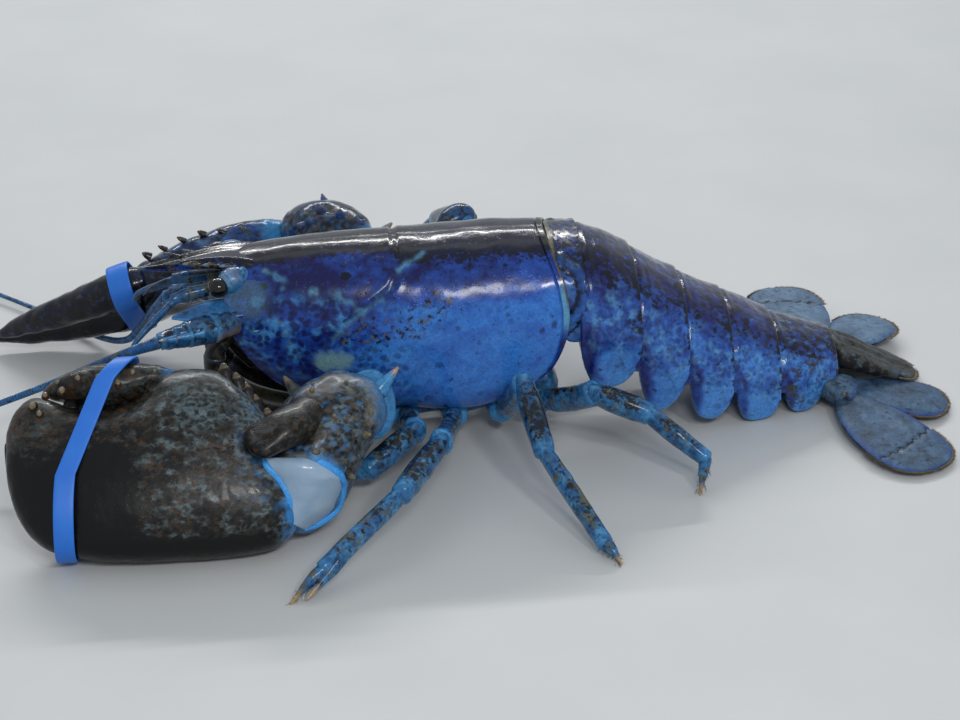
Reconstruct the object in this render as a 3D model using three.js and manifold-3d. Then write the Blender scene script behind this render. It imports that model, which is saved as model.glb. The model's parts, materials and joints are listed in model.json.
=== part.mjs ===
// American lobster, life size, at rest on a floor with both claws banded shut.
// Units are millimetres. The animal faces -X, its left side is -Y and +Z is up.
// X is zero at the rear edge of the carapace on the back, Y is zero on the midline.

import * as THREE from 'three';
import { LoftGeometry } from 'three/addons/geometries/LoftGeometry.js';
import { mergeVertices } from 'three/addons/utils/BufferGeometryUtils.js';
import Module from 'manifold-3d';

const wasm = await Module();
wasm.setup();

// Driving dimensions
const CARAPACE_LENGTH = 110;
const WIDEST = 30;
const BACK_HEIGHT = 76.5;
const ROSTRUM_LENGTH = 35;
const GAP = 0.3;
const TURNS = Math.PI * 2;
const LEFT = -1;
const RIGHT = 1;

// Shell colours
const COLOURS = {
	shell: 0x1f3f9c,
	belly: 0x4a7fc0,
	leg: 0x2f7fc4,
	claw: 0x2a2622,
	eye: 0x0a0a0c,
	band: 0x2f7fd8,
	fan: 0x35507a,
};

// A seeded draw, so that spines vary in the same way each time.
function seeded( seed ) {

	let state = seed;
	return () => {

		state = ( state * 1664525 + 1013904223 ) % 4294967296;
		return state / 4294967296;

	};

}

const vector = ( [ x, y, z ] ) => new THREE.Vector3( x, y, z );

// A value list read as a smooth curve, t running from 0 to 1.
function through( values, t ) {

	const points = values.map( ( value ) => new THREE.Vector3( value, 0, 0 ) );
	return new THREE.CatmullRomCurve3( points, false, 'catmullrom' ).getPoint( t ).x;

}

// One cross section: a superellipse about a centre, spanned by a side and an up direction.
function ringPoints( { centre, side, up, wide, deep, power = 2 }, around ) {

	const points = [];
	for ( let i = 0; i < around; i ++ ) {

		const angle = ( i + 0.5 ) / around * TURNS;
		const across = Math.sign( Math.cos( angle ) ) * Math.abs( Math.cos( angle ) ) ** ( 2 / power );
		const over = Math.sign( Math.sin( angle ) ) * Math.abs( Math.sin( angle ) ) ** ( 2 / power );
		points.push( centre.clone()
			.addScaledVector( side, across * wide )
			.addScaledVector( up, over * deep ) );

	}

	return points;

}

// The middle of a cross section.
function centreOf( points ) {

	const sum = points.reduce( ( whole, point ) => whole.add( point ), new THREE.Vector3() );
	return sum.divideScalar( points.length );

}

// The direction about which a cross section winds.
function windingOf( points ) {

	return points.reduce( ( sum, point, i ) => {

		const next = points[ ( i + 1 ) % points.length ];
		return sum.add( new THREE.Vector3().crossVectors( point, next ) );

	}, new THREE.Vector3() );

}

// A geometry with its shared corners welded, as a solid to join and cut.
function solidOf( geometry ) {

	const plain = new THREE.BufferGeometry();
	plain.setAttribute( 'position', geometry.attributes.position );
	plain.setIndex( geometry.index );
	const welded = mergeVertices( plain, 1e-4 );
	const vertProperties = new Float32Array( welded.attributes.position.array );
	const triVerts = new Uint32Array( welded.index.array );
	return new wasm.Manifold( new wasm.Mesh( { numProp: 3, vertProperties, triVerts } ) );

}

// A closed solid skinned over cross sections, which wind so that its faces point outward.
function skin( sections ) {

	const ahead = centreOf( sections[ 1 ] ).sub( centreOf( sections[ 0 ] ) );
	const first = sections[ 0 ].map( ( point ) => point.clone().sub( sections[ 0 ][ 0 ] ) );
	const wound = windingOf( first ).dot( ahead ) > 0
		? sections
		: sections.map( ( points ) => [ ...points ].reverse() );
	return solidOf( new LoftGeometry( wound, { capStart: true, capEnd: true } ) );

}

// A limb, feeler or spine: stations of { at, wide, deep } joined by a smooth tube.
// grow makes the same form larger all round, to cut a gap for it in a neighbour.
function limb( stations, { up = [ 0, 0, 1 ], around = 10, steps = 8, power = 2.2, grow = 0, frame } = {} ) {

	const path = new THREE.CatmullRomCurve3( stations.map( ( { at } ) => vector( at ) ), false, 'catmullrom' );
	const wides = stations.map( ( { wide } ) => wide );
	const deeps = stations.map( ( { wide, deep } ) => deep ?? wide );
	const sections = [];
	for ( let i = 0; i <= steps; i ++ ) {

		const t = i / steps;
		const ahead = path.getTangent( t );
		const level = new THREE.Vector3().crossVectors( ahead, vector( up ) ).normalize();
		const side = frame ? vector( frame.side ) : level;
		const over = frame ? vector( frame.up ) : new THREE.Vector3().crossVectors( side, ahead ).normalize();
		const centre = path.getPoint( t );
		if ( i === 0 ) centre.addScaledVector( ahead, - grow );
		if ( i === steps ) centre.addScaledVector( ahead, grow );
		sections.push( ringPoints( {
			centre,
			side,
			up: over,
			wide: Math.max( through( wides, t ), 0.2 ) + grow,
			deep: Math.max( through( deeps, t ), 0.2 ) + grow,
			power,
		}, around ) );

	}

	return skin( sections );

}

// A spine or tubercle: a short cone with a blunt tip, its root sunk in what carries it.
function spine( root, tip, radius, sides = 5 ) {

	const start = vector( root );
	const along = vector( tip ).sub( start );
	const sunk = start.clone().addScaledVector( along, - 0.25 );
	const middle = start.clone().addScaledVector( along, 0.55 );
	const stations = [
		{ at: sunk.toArray(), wide: radius },
		{ at: middle.toArray(), wide: radius * 0.62 },
		{ at: tip, wide: 0.3 },
	];
	const helper = Math.abs( along.z ) > 0.8 * along.length() ? [ 1, 0, 0 ] : [ 0, 0, 1 ];
	return limb( stations, { up: helper, around: sides, steps: 2, power: 2 } );

}

function join( solids ) {

	return solids.reduce( ( whole, piece ) => whole.add( piece ) );

}

function cut( solid, tools ) {

	return tools.reduce( ( rest, tool ) => rest.subtract( tool ), solid );

}

// Everything below the floor is taken off, which leaves small flats at one level.
const SLAB_DEPTH = 100;
const floorSlab = limb( [
	{ at: [ - 600, 0, - SLAB_DEPTH / 2 ], wide: 400, deep: SLAB_DEPTH / 2 },
	{ at: [ 400, 0, - SLAB_DEPTH / 2 ], wide: 400, deep: SLAB_DEPTH / 2 },
], { around: 4, steps: 1, power: 2, frame: { side: [ 0, Math.SQRT2, 0 ], up: [ 0, 0, Math.SQRT2 ] } } );

const animal = new THREE.Group();

// Keeps the largest closed surface of a solid and adds it to the animal as a named mesh.
function node( name, solid, colour ) {

	const pieces = solid.subtract( floorSlab ).decompose().sort( ( a, b ) => b.volume() - a.volume() );
	const { vertProperties, triVerts } = pieces[ 0 ].getMesh();
	const geometry = new THREE.BufferGeometry();
	geometry.setAttribute( 'position', new THREE.BufferAttribute( new Float32Array( vertProperties ), 3 ) );
	geometry.setIndex( new THREE.BufferAttribute( new Uint32Array( triVerts ), 1 ) );
	geometry.computeVertexNormals();
	const material = new THREE.MeshStandardMaterial( { color: colour, roughness: 0.35, metalness: 0 } );
	const mesh = new THREE.Mesh( geometry, material );
	mesh.name = name;
	animal.add( mesh );

}

const sideName = ( side ) => ( side === LEFT ? 'left' : 'right' );

// Carapace
// Each station gives the x of its top and bottom, how far the side bows from that line,
// its top and bottom heights and its half width. Sections lean forward at the front.
const FRONT = - CARAPACE_LENGTH;
const CARAPACE_STATIONS = [
	{ top: FRONT - 3, low: FRONT + 22, bow: - 11, high: 72.5, base: 18.6, half: 17 },
	{ top: FRONT + 8, low: FRONT + 31, bow: - 10.5, high: 74, base: 17.2, half: 21.5 },
	{ top: FRONT + 22, low: FRONT + 41, bow: - 9, high: 75.3, base: 16, half: 24.5 },
	{ top: FRONT + 38, low: FRONT + 52, bow: - 6, high: 76, base: 14.6, half: 26.5 },
	{ top: FRONT + 50, low: FRONT + 57, bow: - 4, high: 76, base: 13.8, half: 27.6 },
	{ top: FRONT + 54, low: FRONT + 60, bow: - 4, high: 75, base: 13.6, half: 27.4 },
	{ top: FRONT + 58, low: FRONT + 63, bow: - 3, high: 76.3, base: 13.2, half: 28.4 },
	{ top: FRONT + 74, low: FRONT + 74, bow: 0, high: BACK_HEIGHT, base: 12.6, half: WIDEST },
	{ top: FRONT + 92, low: FRONT + 87, bow: 5, high: BACK_HEIGHT + 0.5, base: 13.6, half: WIDEST - 0.3 },
	{ top: FRONT + 105, low: FRONT + 98, bow: 9, high: BACK_HEIGHT, base: 18, half: WIDEST - 1.6 },
	{ top: FRONT + 110, low: FRONT + 102, bow: 10, high: BACK_HEIGHT - 0.4, base: 21, half: WIDEST - 2.4 },
];
const CARAPACE_AROUND = 24;

function carapaceSection( { top, low, bow, high, base, half }, grow ) {

	const middle = base + ( high - base ) * 0.47;
	const points = [];
	for ( let i = 0; i < CARAPACE_AROUND; i ++ ) {

		const angle = ( i + 0.5 ) / CARAPACE_AROUND * TURNS;
		const upper = Math.sin( angle ) > 0;
		const power = upper ? 2.25 : 3.4;
		const reach = upper ? high - middle : middle - base;
		const across = Math.sign( Math.cos( angle ) ) * Math.abs( Math.cos( angle ) ) ** ( 2 / power );
		const over = Math.sign( Math.sin( angle ) ) * Math.abs( Math.sin( angle ) ) ** ( 2 / power );
		const z = middle + over * ( reach + grow );
		const drop = THREE.MathUtils.clamp( ( high - z ) / ( high - base ), 0, 1 );
		const x = THREE.MathUtils.lerp( top, low, drop ) + bow * 4 * drop * ( 1 - drop );
		points.push( new THREE.Vector3( x, across * ( half + grow ), z ) );

	}

	return points;

}

function carapaceBody( grow = 0 ) {

	const sections = CARAPACE_STATIONS.map( ( station ) => carapaceSection( station, grow ) );
	const shift = ( points, dx ) => points.map( ( point ) => point.clone().setX( point.x + dx ) );
	sections[ 0 ] = shift( sections[ 0 ], - grow );
	sections[ sections.length - 1 ] = shift( sections.at( - 1 ), grow );
	return skin( sections );

}

const EYE_STALK = [ [ FRONT + 4, 8, 67 ], [ FRONT - 1.6, 12.2, 67 ], [ FRONT - 5.8, 14.6, 65.8 ] ];
const EYE_CENTRE = [ FRONT - 6.6, 14.8, 65.3 ];
const STALK_RADIUS = 4.7;
const CORNEA_RADIUS = 3.7;

function mirrored( [ x, y, z ], side ) {

	return [ x, side * y, z ];

}

function eyestalk( side, grow = 0 ) {

	const radii = [ STALK_RADIUS * 0.8, STALK_RADIUS, STALK_RADIUS * 0.86 ];
	const stations = EYE_STALK.map( ( at, i ) => ( { at: mirrored( at, side ), wide: radii[ i ] } ) );
	return limb( stations, { around: 8, steps: 3, grow } );

}

function cornea( side, grow = 0 ) {

	const [ x, y, z ] = mirrored( EYE_CENTRE, side );
	const stations = [ - 1, - 0.7, 0, 0.7, 1 ].map( ( k ) => ( {
		at: [ x - k * 0.82 * CORNEA_RADIUS, y + side * k * 0.55 * CORNEA_RADIUS, z ],
		wide: CORNEA_RADIUS * Math.sqrt( Math.max( 1 - k * k, 0.03 ) ),
	} ) );
	return limb( stations, { around: 9, steps: 5, grow } );

}

function rostrum() {

	const root = [ FRONT + 12, 0, 69 ];
	const tip = [ FRONT - ROSTRUM_LENGTH, 0, 68.2 ];
	const blade = limb( [
		{ at: root, wide: 11, deep: 4 },
		{ at: [ FRONT - 2, 0, 70.5 ], wide: 7.2, deep: 3.6 },
		{ at: [ FRONT - 13, 0, 70 ], wide: 4.4, deep: 2.9 },
		{ at: [ FRONT - 24, 0, 68.6 ], wide: 2.6, deep: 2.1 },
		{ at: tip, wide: 0.4, deep: 0.4 },
	], { around: 8, steps: 8 } );
	const spines = [];
	for ( const side of [ LEFT, RIGHT ] ) {

		for ( const [ back, out ] of [ [ 6, 5.8 ], [ 13, 4.2 ], [ 20, 3 ] ] ) {

			const x = FRONT - back;
			spines.push( spine( [ x, side * ( out - 1 ), 70.4 ], [ x - 4, side * ( out + 1.6 ), 72.4 ], 1.5 ) );

		}

		spines.push( spine( [ FRONT + 3, side * 14, 68.5 ], [ FRONT - 5, side * 16.5, 71.5 ], 1.8 ) );

	}

	return join( [ blade, ...spines ] );

}

const orbits = [ LEFT, RIGHT ].map( ( side ) => join( [ eyestalk( side, GAP ), cornea( side, GAP ) ] ) );

// Feelers at the front of the head
const ANTENNA_BASE = {
	[ LEFT ]: [ [ FRONT + 1, - 11.5, 53 ], [ FRONT - 6, - 17.5, 53 ], [ FRONT - 14, - 22, 53 ],
		[ FRONT - 20, - 25, 53.2 ], [ FRONT - 27.5, - 28.5, 53.2 ] ],
	[ RIGHT ]: [ [ FRONT + 1, 11.5, 53 ], [ FRONT - 6, 17.5, 51.5 ], [ FRONT - 14, 22, 48.5 ],
		[ FRONT - 20, 24, 46 ], [ FRONT - 27, 26, 43 ] ],
};
const ANTENNA_BASE_RADII = [ 5, 5, 4.8, 4, 2.9 ];
const FLAGELLUM = {
	[ LEFT ]: [ [ - 138, - 28.8, 53.1 ], [ - 150, - 25, 47.5 ], [ - 161, - 20, 41 ], [ - 176, - 15, 32.5 ],
		[ - 197, - 15.5, 25.2 ], [ - 235, - 22, 16 ], [ - 280, - 38, 9 ], [ - 325, - 62, 5 ],
		[ - 362, - 92, 3 ] ],
	[ RIGHT ]: [ [ - 137.5, 26.1, 42.7 ], [ - 143.5, 34, 33 ], [ - 149, 46, 21 ], [ - 156, 58, 9.6 ],
		[ - 168, 74, 3.6 ], [ - 191, 99, 3 ], [ - 222, 127, 3 ], [ - 262, 154, 3 ], [ - 305, 178, 3 ] ],
};
const FLAGELLUM_RADII = [ 2.3, 1.7, 1.5, 1.35, 1.2, 1, 0.8, 0.6, 0.4 ];

function antennaBase( side, grow = 0 ) {

	const stations = ANTENNA_BASE[ side ].map( ( at, i ) => ( { at, wide: ANTENNA_BASE_RADII[ i ] } ) );
	const stalk = limb( stations, { around: 8, steps: 8, grow } );
	if ( grow > 0 ) return stalk;
	const spurs = stations.slice( 1, 4 ).map( ( { at: [ x, y, z ] } ) =>
		spine( [ x, y + side * 3, z ], [ x - 5, y + side * 7, z + 1 ], 1.6 ) );
	return join( [ stalk, ...spurs ] );

}

function flagellum( side ) {

	const stations = FLAGELLUM[ side ].map( ( at, i ) => ( { at, wide: FLAGELLUM_RADII[ i ] } ) );
	return limb( stations, { around: 5, steps: 26, power: 2 } );

}

function antennalScale( side ) {

	return limb( [
		{ at: [ FRONT - 1, side * 14, 58.5 ], wide: 2.5, deep: 1.6 },
		{ at: [ FRONT - 6, side * 15.5, 58.3 ], wide: 4.2, deep: 1.2 },
		{ at: [ FRONT - 14, side * 17.5, 58 ], wide: 3.7, deep: 0.9 },
		{ at: [ FRONT - 23, side * 19, 57.6 ], wide: 0.6, deep: 0.4 },
	], { up: [ 0, side * 0.5, 0.87 ], around: 8, steps: 6 } );

}

function antennule( side ) {

	const stalk = limb( [
		{ at: [ FRONT - 3, side * 4.5, 62.5 ], wide: 3 },
		{ at: [ FRONT - 10, side * 6, 61.5 ], wide: 2.4 },
		{ at: [ FRONT - 17, side * 7, 60.5 ], wide: 2.5 },
		{ at: [ FRONT - 23, side * 8.4, 59.3 ], wide: 1.8 },
	], { around: 7, steps: 4 } );
	const outer = limb( [
		{ at: [ FRONT - 21, side * 8, 60 ], wide: 1.3 },
		{ at: [ FRONT - 29, side * 13, 54.5 ], wide: 1.5 },
		{ at: [ FRONT - 37, side * 20, 48.5 ], wide: 0.9 },
		{ at: [ FRONT - 39, side * 23, 43 ], wide: 0.35 },
	], { around: 5, steps: 7, power: 2 } );
	const inner = limb( [
		{ at: [ FRONT - 21, side * 7.4, 60 ], wide: 1 },
		{ at: [ FRONT - 30, side * 7.6, 59.6 ], wide: 0.8 },
		{ at: [ FRONT - 39, side * 9.6, 57 ], wide: 0.6 },
		{ at: [ FRONT - 48, side * 13, 53 ], wide: 0.35 },
	], { around: 5, steps: 7, power: 2 } );
	return join( [ stalk, outer, inner ] );

}

function maxilliped( side, grow = 0 ) {

	return limb( [
		{ at: [ FRONT + 26, side * 8, 12 ], wide: 4.5, deep: 4.6 },
		{ at: [ FRONT + 13, side * 8.6, 14 ], wide: 4.8, deep: 6 },
		{ at: [ FRONT, side * 9, 20 ], wide: 4.6, deep: 6.5 },
		{ at: [ FRONT - 9, side * 9, 29 ], wide: 4.2, deep: 5.2 },
		{ at: [ FRONT - 9, side * 8.4, 38 ], wide: 3.6, deep: 4 },
		{ at: [ FRONT - 3, side * 8, 43 ], wide: 1.6, deep: 1.8 },
	], { up: [ 0, side, 0 ], around: 9, steps: 10, grow } );

}

// Walking legs: where each joint of a leg stands, from the body to the tip.
const LEGS = {
	left_2: [ [ - 52, - 16, 11.5 ], [ - 50, - 39, 17.5 ], [ - 68, - 52, 10 ],
		[ - 88, - 42, 4.5 ], [ - 101, - 36, 0.1 ] ],
	left_3: [ [ - 34, - 17, 11 ], [ - 42.5, - 59, 23.5 ], [ - 58, - 85.5, 20 ],
		[ - 85.5, - 109.5, 7.5 ], [ - 97, - 117.5, 0.1 ] ],
	left_4: [ [ - 17, - 17, 11.5 ], [ - 11.5, - 43, 36 ], [ - 7, - 66, 21.5 ],
		[ 9.5, - 100, 4.5 ], [ 14, - 107, 0.1 ] ],
	left_5: [ [ - 3, - 14, 13 ], [ 14, - 39, 28.5 ], [ 32, - 47, 23.5 ],
		[ 50.5, - 61, 12 ], [ 48, - 66, 0.1 ] ],
	right_2: [ [ - 52, 16, 11.5 ], [ - 46, 49, 29 ], [ - 62, 69, 23 ],
		[ - 82, 87, 7.5 ], [ - 90, 94, 0.1 ] ],
	right_3: [ [ - 34, 17, 11 ], [ - 23, 64, 53 ], [ - 31, 92, 38 ],
		[ - 44, 116, 11 ], [ - 48, 122, 0.1 ] ],
	right_4: [ [ - 17, 17, 11.5 ], [ - 9, 48, 34 ], [ - 3, 68, 22 ],
		[ 10, 98, 5 ], [ 15, 105, 0.1 ] ],
	right_5: [ [ - 3, 14, 13 ], [ 14, 39, 27 ], [ 32, 47, 22 ],
		[ 50, 61, 11 ], [ 49, 67, 0.1 ] ],
};
const PINCHING_LEGS = [ 'left_2', 'left_3', 'right_2', 'right_3' ];

const between = ( a, b, t ) => a.map( ( value, i ) => value + ( b[ i ] - value ) * t );

function upperLeg( name, grow = 0 ) {

	const [ hip, knee ] = LEGS[ name ];
	const arch = between( hip, knee, 0.5 );
	arch[ 2 ] -= 1.2;
	return limb( [
		{ at: between( hip, knee, 0.1 ), wide: 3.6, deep: 4.4 },
		{ at: between( hip, arch, 0.6 ), wide: 3.4, deep: 4.4 },
		{ at: arch, wide: 3.2, deep: 4.6 },
		{ at: between( arch, knee, 0.6 ), wide: 3.5, deep: 4.6 },
		{ at: between( arch, knee, 0.94 ), wide: 4, deep: 4.6 },
	], { around: 8, steps: 6, grow } );

}

function lowerLeg( name ) {

	const [ , knee, wrist, ankle, tip ] = LEGS[ name ];
	const pinching = PINCHING_LEGS.includes( name );
	const toe = between( ankle, tip, 0.55 );
	toe[ 2 ] += 1;
	const leg = limb( [
		{ at: between( knee, wrist, - 0.1 ), wide: 3, deep: 3.4 },
		{ at: between( knee, wrist, 0.2 ), wide: 4, deep: 4.4 },
		{ at: between( knee, wrist, 0.8 ), wide: 4, deep: 4.5 },
		{ at: wrist, wide: 3.2, deep: 3.5 },
		{ at: between( wrist, ankle, 0.3 ), wide: 3.1, deep: 3.6 },
		{ at: between( wrist, ankle, 0.8 ), wide: 2.9, deep: pinching ? 3.9 : 3.2 },
		{ at: ankle, wide: 2.5, deep: pinching ? 3.3 : 2.6 },
		{ at: toe, wide: 1.8, deep: 2.1 },
		{ at: tip, wide: 0.9, deep: 0.9 },
	], { around: 8, steps: 11 } );
	if ( ! pinching ) return leg;
	const back = vector( ankle ).sub( vector( wrist ) ).normalize();
	const outward = new THREE.Vector3( 0, 0, 1 ).cross( back ).normalize().multiplyScalar( 3.6 );
	const fixedTip = vector( between( ankle, tip, 0.72 ) ).add( outward ).toArray();
	fixedTip[ 2 ] = Math.max( fixedTip[ 2 ], 1 );
	const root = vector( between( wrist, ankle, 0.85 ) ).addScaledVector( outward, 0.5 ).toArray();
	return leg.add( spine( root, fixedTip, 2.1, 6 ) );

}

// Underside of the thorax with the hip joints that carry the limbs
function coxa( [ x, y, z ], radius ) {

	const side = Math.sign( y );
	return limb( [
		{ at: [ x, side * 4, z - 1 ], wide: radius, deep: radius * 0.9 },
		{ at: [ x, side * 12, z - 0.5 ], wide: radius * 1.05, deep: radius },
		{ at: [ x, y, z ], wide: radius * 0.85, deep: radius * 0.85 },
	], { around: 6, steps: 2 } );

}

// Claw arms
const CLAW_HIP = { [ LEFT ]: [ - 69, - 17, 12.5 ], [ RIGHT ]: [ - 69, 17, 12.5 ] };

function thorax() {

	const keel = limb( [
		{ at: [ - 90, 0, 15 ], wide: 8, deep: 6 },
		{ at: [ - 72, 0, 12 ], wide: 10, deep: 5.5 },
		{ at: [ - 30, 0, 11.5 ], wide: 10.5, deep: 5.5 },
		{ at: [ 1, 0, 15 ], wide: 9, deep: 7 },
	], { around: 8, steps: 4, power: 3 } );
	const coxae = Object.values( LEGS ).map( ( [ hip ] ) => coxa( hip, 5 ) );
	const clawCoxae = [ LEFT, RIGHT ].map( ( side ) => coxa( CLAW_HIP[ side ], 6.6 ) );
	return join( [ keel, ...coxae, ...clawCoxae ] );

}

// Crusher claw (left) and cutter claw (right)
// A claw is drawn in its own plane: length runs from wrist to tip, width from the
// outer margin up to the moving finger, and thickness stands off the plane.
const CRUSHER_TILT = THREE.MathUtils.degToRad( 42 );
const crusherPlane = {
	origin: new THREE.Vector3( - 92, - 81.9, 12.5 ),
	length: new THREE.Vector3( - 1, 0, 0 ),
	width: new THREE.Vector3( 0, Math.cos( CRUSHER_TILT ), Math.sin( CRUSHER_TILT ) ),
};
const cutterLength = new THREE.Vector3( - 117, 11, - 44 ).normalize();
const cutterLean = new THREE.Vector3( 0, - 0.669, 0.743 );
const cutterPlane = {
	origin: new THREE.Vector3( - 90, 73, 38 ),
	length: cutterLength,
	width: cutterLean.clone().addScaledVector( cutterLength, - cutterLean.dot( cutterLength ) ).normalize(),
};
for ( const plane of [ crusherPlane, cutterPlane ] ) {

	plane.off = new THREE.Vector3().crossVectors( plane.length, plane.width ).normalize();
	if ( plane.off.z < 0 ) plane.off.negate();

}

function clawPoint( plane, along, across, off = 0 ) {

	return plane.origin.clone()
		.addScaledVector( plane.length, along )
		.addScaledVector( plane.width, across )
		.addScaledVector( plane.off, off )
		.toArray();

}

// stations: [ along, low margin, high margin, half thickness, and how far its middle stands off the plane ]
function clawShell( plane, stations, { around = 16, steps = 12, grow = 0, power = 2.3 } = {} ) {

	const list = stations.map( ( [ along, low, high, thick, off = 0 ] ) => ( {
		at: clawPoint( plane, along, ( low + high ) / 2, off ),
		wide: ( high - low ) / 2,
		deep: thick,
	} ) );
	const frame = { side: plane.width.toArray(), up: plane.off.toArray() };
	return limb( list, { around, steps, grow, power, frame } );

}

const CRUSHER_PALM = [
	[ 1, - 4, 15, 7 ], [ 4.5, - 8, 23, 9.8 ], [ 9, - 11, 33, 12.4 ], [ 15, - 12.4, 42, 14.5 ],
	[ 24, - 13.2, 51, 16 ],
	[ 34, - 13.4, 53.4, 16.5 ], [ 44, - 13.4, 51.8, 16.3 ], [ 56, - 13, 43.5, 15.5 ], [ 67, - 12, 40, 14.4 ],
	[ 76, - 10, 42, 12.9 ], [ 84, - 7.6, 45.6, 11.2 ], [ 90, - 3, 46.4, 9.4 ], [ 95, 5, 42, 7 ],
	[ 97.6, 14, 36, 4.4 ], [ 98.4, 22, 31, 2 ],
];
const CRUSHER_FINGER = [
	[ 41, 48, 54, 4 ], [ 47, 45.6, 55.8, 7.6 ], [ 56, 42.8, 56.8, 9 ], [ 64, 41.4, 57.4, 9 ],
	[ 71, 43, 56.6, 8.4 ], [ 77, 44.6, 54.6, 6.8 ], [ 82, 46, 52, 4.6 ], [ 85, 47.2, 49.4, 2 ],
];
const CUTTER_PALM = [
	[ - 3, 9, 20, 6, 0 ], [ 4, 4, 27, 8.5, - 0.5 ], [ 14, 1, 34, 9.8, - 2 ],
	[ 26, 0, 38, 10.4, - 3.6 ], [ 40, 0, 38.5, 10.2, - 4.8 ],
	[ 52, 0.5, 35, 9.6, - 5.2 ], [ 62, 1, 25, 8.8, - 5.2 ], [ 74, 1.8, 21, 7.8, - 4.6 ],
	[ 88, 3.4, 19, 6.6, - 3.4 ], [ 102, 6.4, 18, 5, - 1.8 ],
	[ 114, 10.4, 17, 3.4, - 0.5 ], [ 122, 14, 16.6, 1.2, 0 ],
];
const CUTTER_FINGER = [
	[ 50, 28.6, 36, 4, - 5 ], [ 55, 26, 38, 6.4, - 5.2 ], [ 62, 23.6, 38.2, 7.2, - 5.2 ],
	[ 74, 21, 36, 6.8, - 4.6 ], [ 88, 19.2, 31.8, 5.8, - 3.4 ], [ 102, 18, 26.6, 4.6, - 1.8 ],
	[ 113, 17, 21.4, 3, - 0.6 ], [ 120, 16.6, 18, 0.9, 0 ],
];

// Each band is a loop round the fixed finger and the moving one. along gives its place from
// the outer margin to the inner one, and ends gives, for both margins, the centre of the
// rounded end, its reach and its half thickness.
const claws = {
	[ LEFT ]: {
		name: 'crusher', plane: crusherPlane, palm: CRUSHER_PALM, finger: CRUSHER_FINGER,
		band: { width: 6.8, off: 0, along: [ 79, 77.5, 73.5, 56 ],
			ends: [ { centre: 14, reach: 24.6, thick: 14.6 }, { centre: 48.8, reach: 9.4, thick: 9.8 } ] },
	},
	[ RIGHT ]: {
		name: 'cutter', plane: cutterPlane, palm: CUTTER_PALM, finger: CUTTER_FINGER,
		band: { width: 8.8, off: - 5, along: [ 64, 62.5, 60.5, 58.5 ],
			ends: [ { centre: 12, reach: 11.6, thick: 9.6 }, { centre: 29, reach: 9.6, thick: 8.6 } ] },
	},
};

function clawPalm( side, grow = 0 ) {

	return clawShell( claws[ side ].plane, claws[ side ].palm, { around: 16, steps: 12, grow } );

}

function clawFinger( side, grow = 0 ) {

	return clawShell( claws[ side ].plane, claws[ side ].finger, { around: 10, steps: 9, grow, power: 2.1 } );

}

// A flat rubber band stretched round both fingers.
const BAND_THICKNESS = 1;
const BAND_ARC_STEPS = 7;

function clawBand( side ) {

	const { plane, band: { width, off, along, ends } } = claws[ side ];
	const margin = [ ends[ 0 ].centre - ends[ 0 ].reach, ends[ 1 ].centre + ends[ 1 ].reach ];
	const sections = [];
	ends.forEach( ( { centre, reach, thick }, end ) => {

		for ( let i = 0; i <= BAND_ARC_STEPS; i ++ ) {

			const angle = ( end === 0 ? 0.5 : - 0.5 ) * Math.PI + i / BAND_ARC_STEPS * Math.PI;
			const across = Math.sign( Math.cos( angle ) ) * Math.abs( Math.cos( angle ) ) ** 0.87;
			const over = Math.sign( Math.sin( angle ) ) * Math.abs( Math.sin( angle ) ) ** 0.87;
			const share = ( centre + across * reach - margin[ 0 ] ) / ( margin[ 1 ] - margin[ 0 ] );
			const place = through( along, THREE.MathUtils.clamp( share, 0, 1 ) );
			const corners = [ [ - 0.5, 0 ], [ 0.5, 0 ], [ 0.5, 1 ], [ - 0.5, 1 ] ];
			sections.push( corners.map( ( [ edge, layer ] ) => vector( clawPoint( plane,
				place + edge * width,
				centre + across * ( reach + layer * BAND_THICKNESS ),
				off + over * ( thick + layer * BAND_THICKNESS ) ) ) ) );

		}

	} );
	sections.push( sections[ 0 ] );
	const ring = solidOf( new LoftGeometry( sections ) );
	if ( ring.volume() > 0 ) return ring;
	return solidOf( new LoftGeometry( sections.map( ( points ) => [ ...points ].reverse() ) ) );

}

// Wrist and upper arm of each claw
const ARM = {
	[ LEFT ]: {
		elbow: [ - 66, - 49, 35 ],
		carpus: [
			{ at: [ - 69, - 51, 36.5 ], wide: 11.5, deep: 11 },
			{ at: [ - 75, - 55, 36 ], wide: 14.5, deep: 14 },
			{ at: [ - 84, - 61.5, 30.5 ], wide: 16.5, deep: 16.5 },
			{ at: [ - 88.5, - 69, 20.5 ], wide: 14.4, deep: 17 },
			{ at: [ - 91.5, - 74, 13.5 ], wide: 12, deep: 14.5 },
			{ at: [ - 94, - 78.5, 9 ], wide: 8, deep: 9.5 },
		],
		lobe: [
			{ at: clawPoint( crusherPlane, - 4, 30, 10 ), wide: 8, deep: 8 },
			{ at: clawPoint( crusherPlane, 4, 25, 17 ), wide: 8, deep: 6 },
			{ at: clawPoint( crusherPlane, 13, 20, 18 ), wide: 8, deep: 3.8 },
		],
		merus: [ 9, 10.4, 11.8 ],
	},
	[ RIGHT ]: {
		elbow: [ - 62, 46, 46.5 ],
		carpus: [
			{ at: [ - 64.5, 48, 48 ], wide: 9.5, deep: 9 },
			{ at: [ - 70, 52, 50.5 ], wide: 12.5, deep: 11.6 },
			{ at: [ - 77, 56, 51.6 ], wide: 13, deep: 12.6 },
			{ at: [ - 83, 59, 51.2 ], wide: 11, deep: 11.6 },
			{ at: [ - 88, 60.5, 50 ], wide: 8, deep: 9 },
		],
		lobe: [],
		merus: [ 8, 9, 9.4 ],
	},
};

function carpus( side, grow = 0 ) {

	const { carpus: stations, lobe } = ARM[ side ];
	const body = limb( stations, { around: 12, steps: 8, grow, power: 2.3 } );
	if ( lobe.length === 0 ) return body;
	return body.add( limb( lobe, { around: 8, steps: 4, grow } ) );

}

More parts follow.
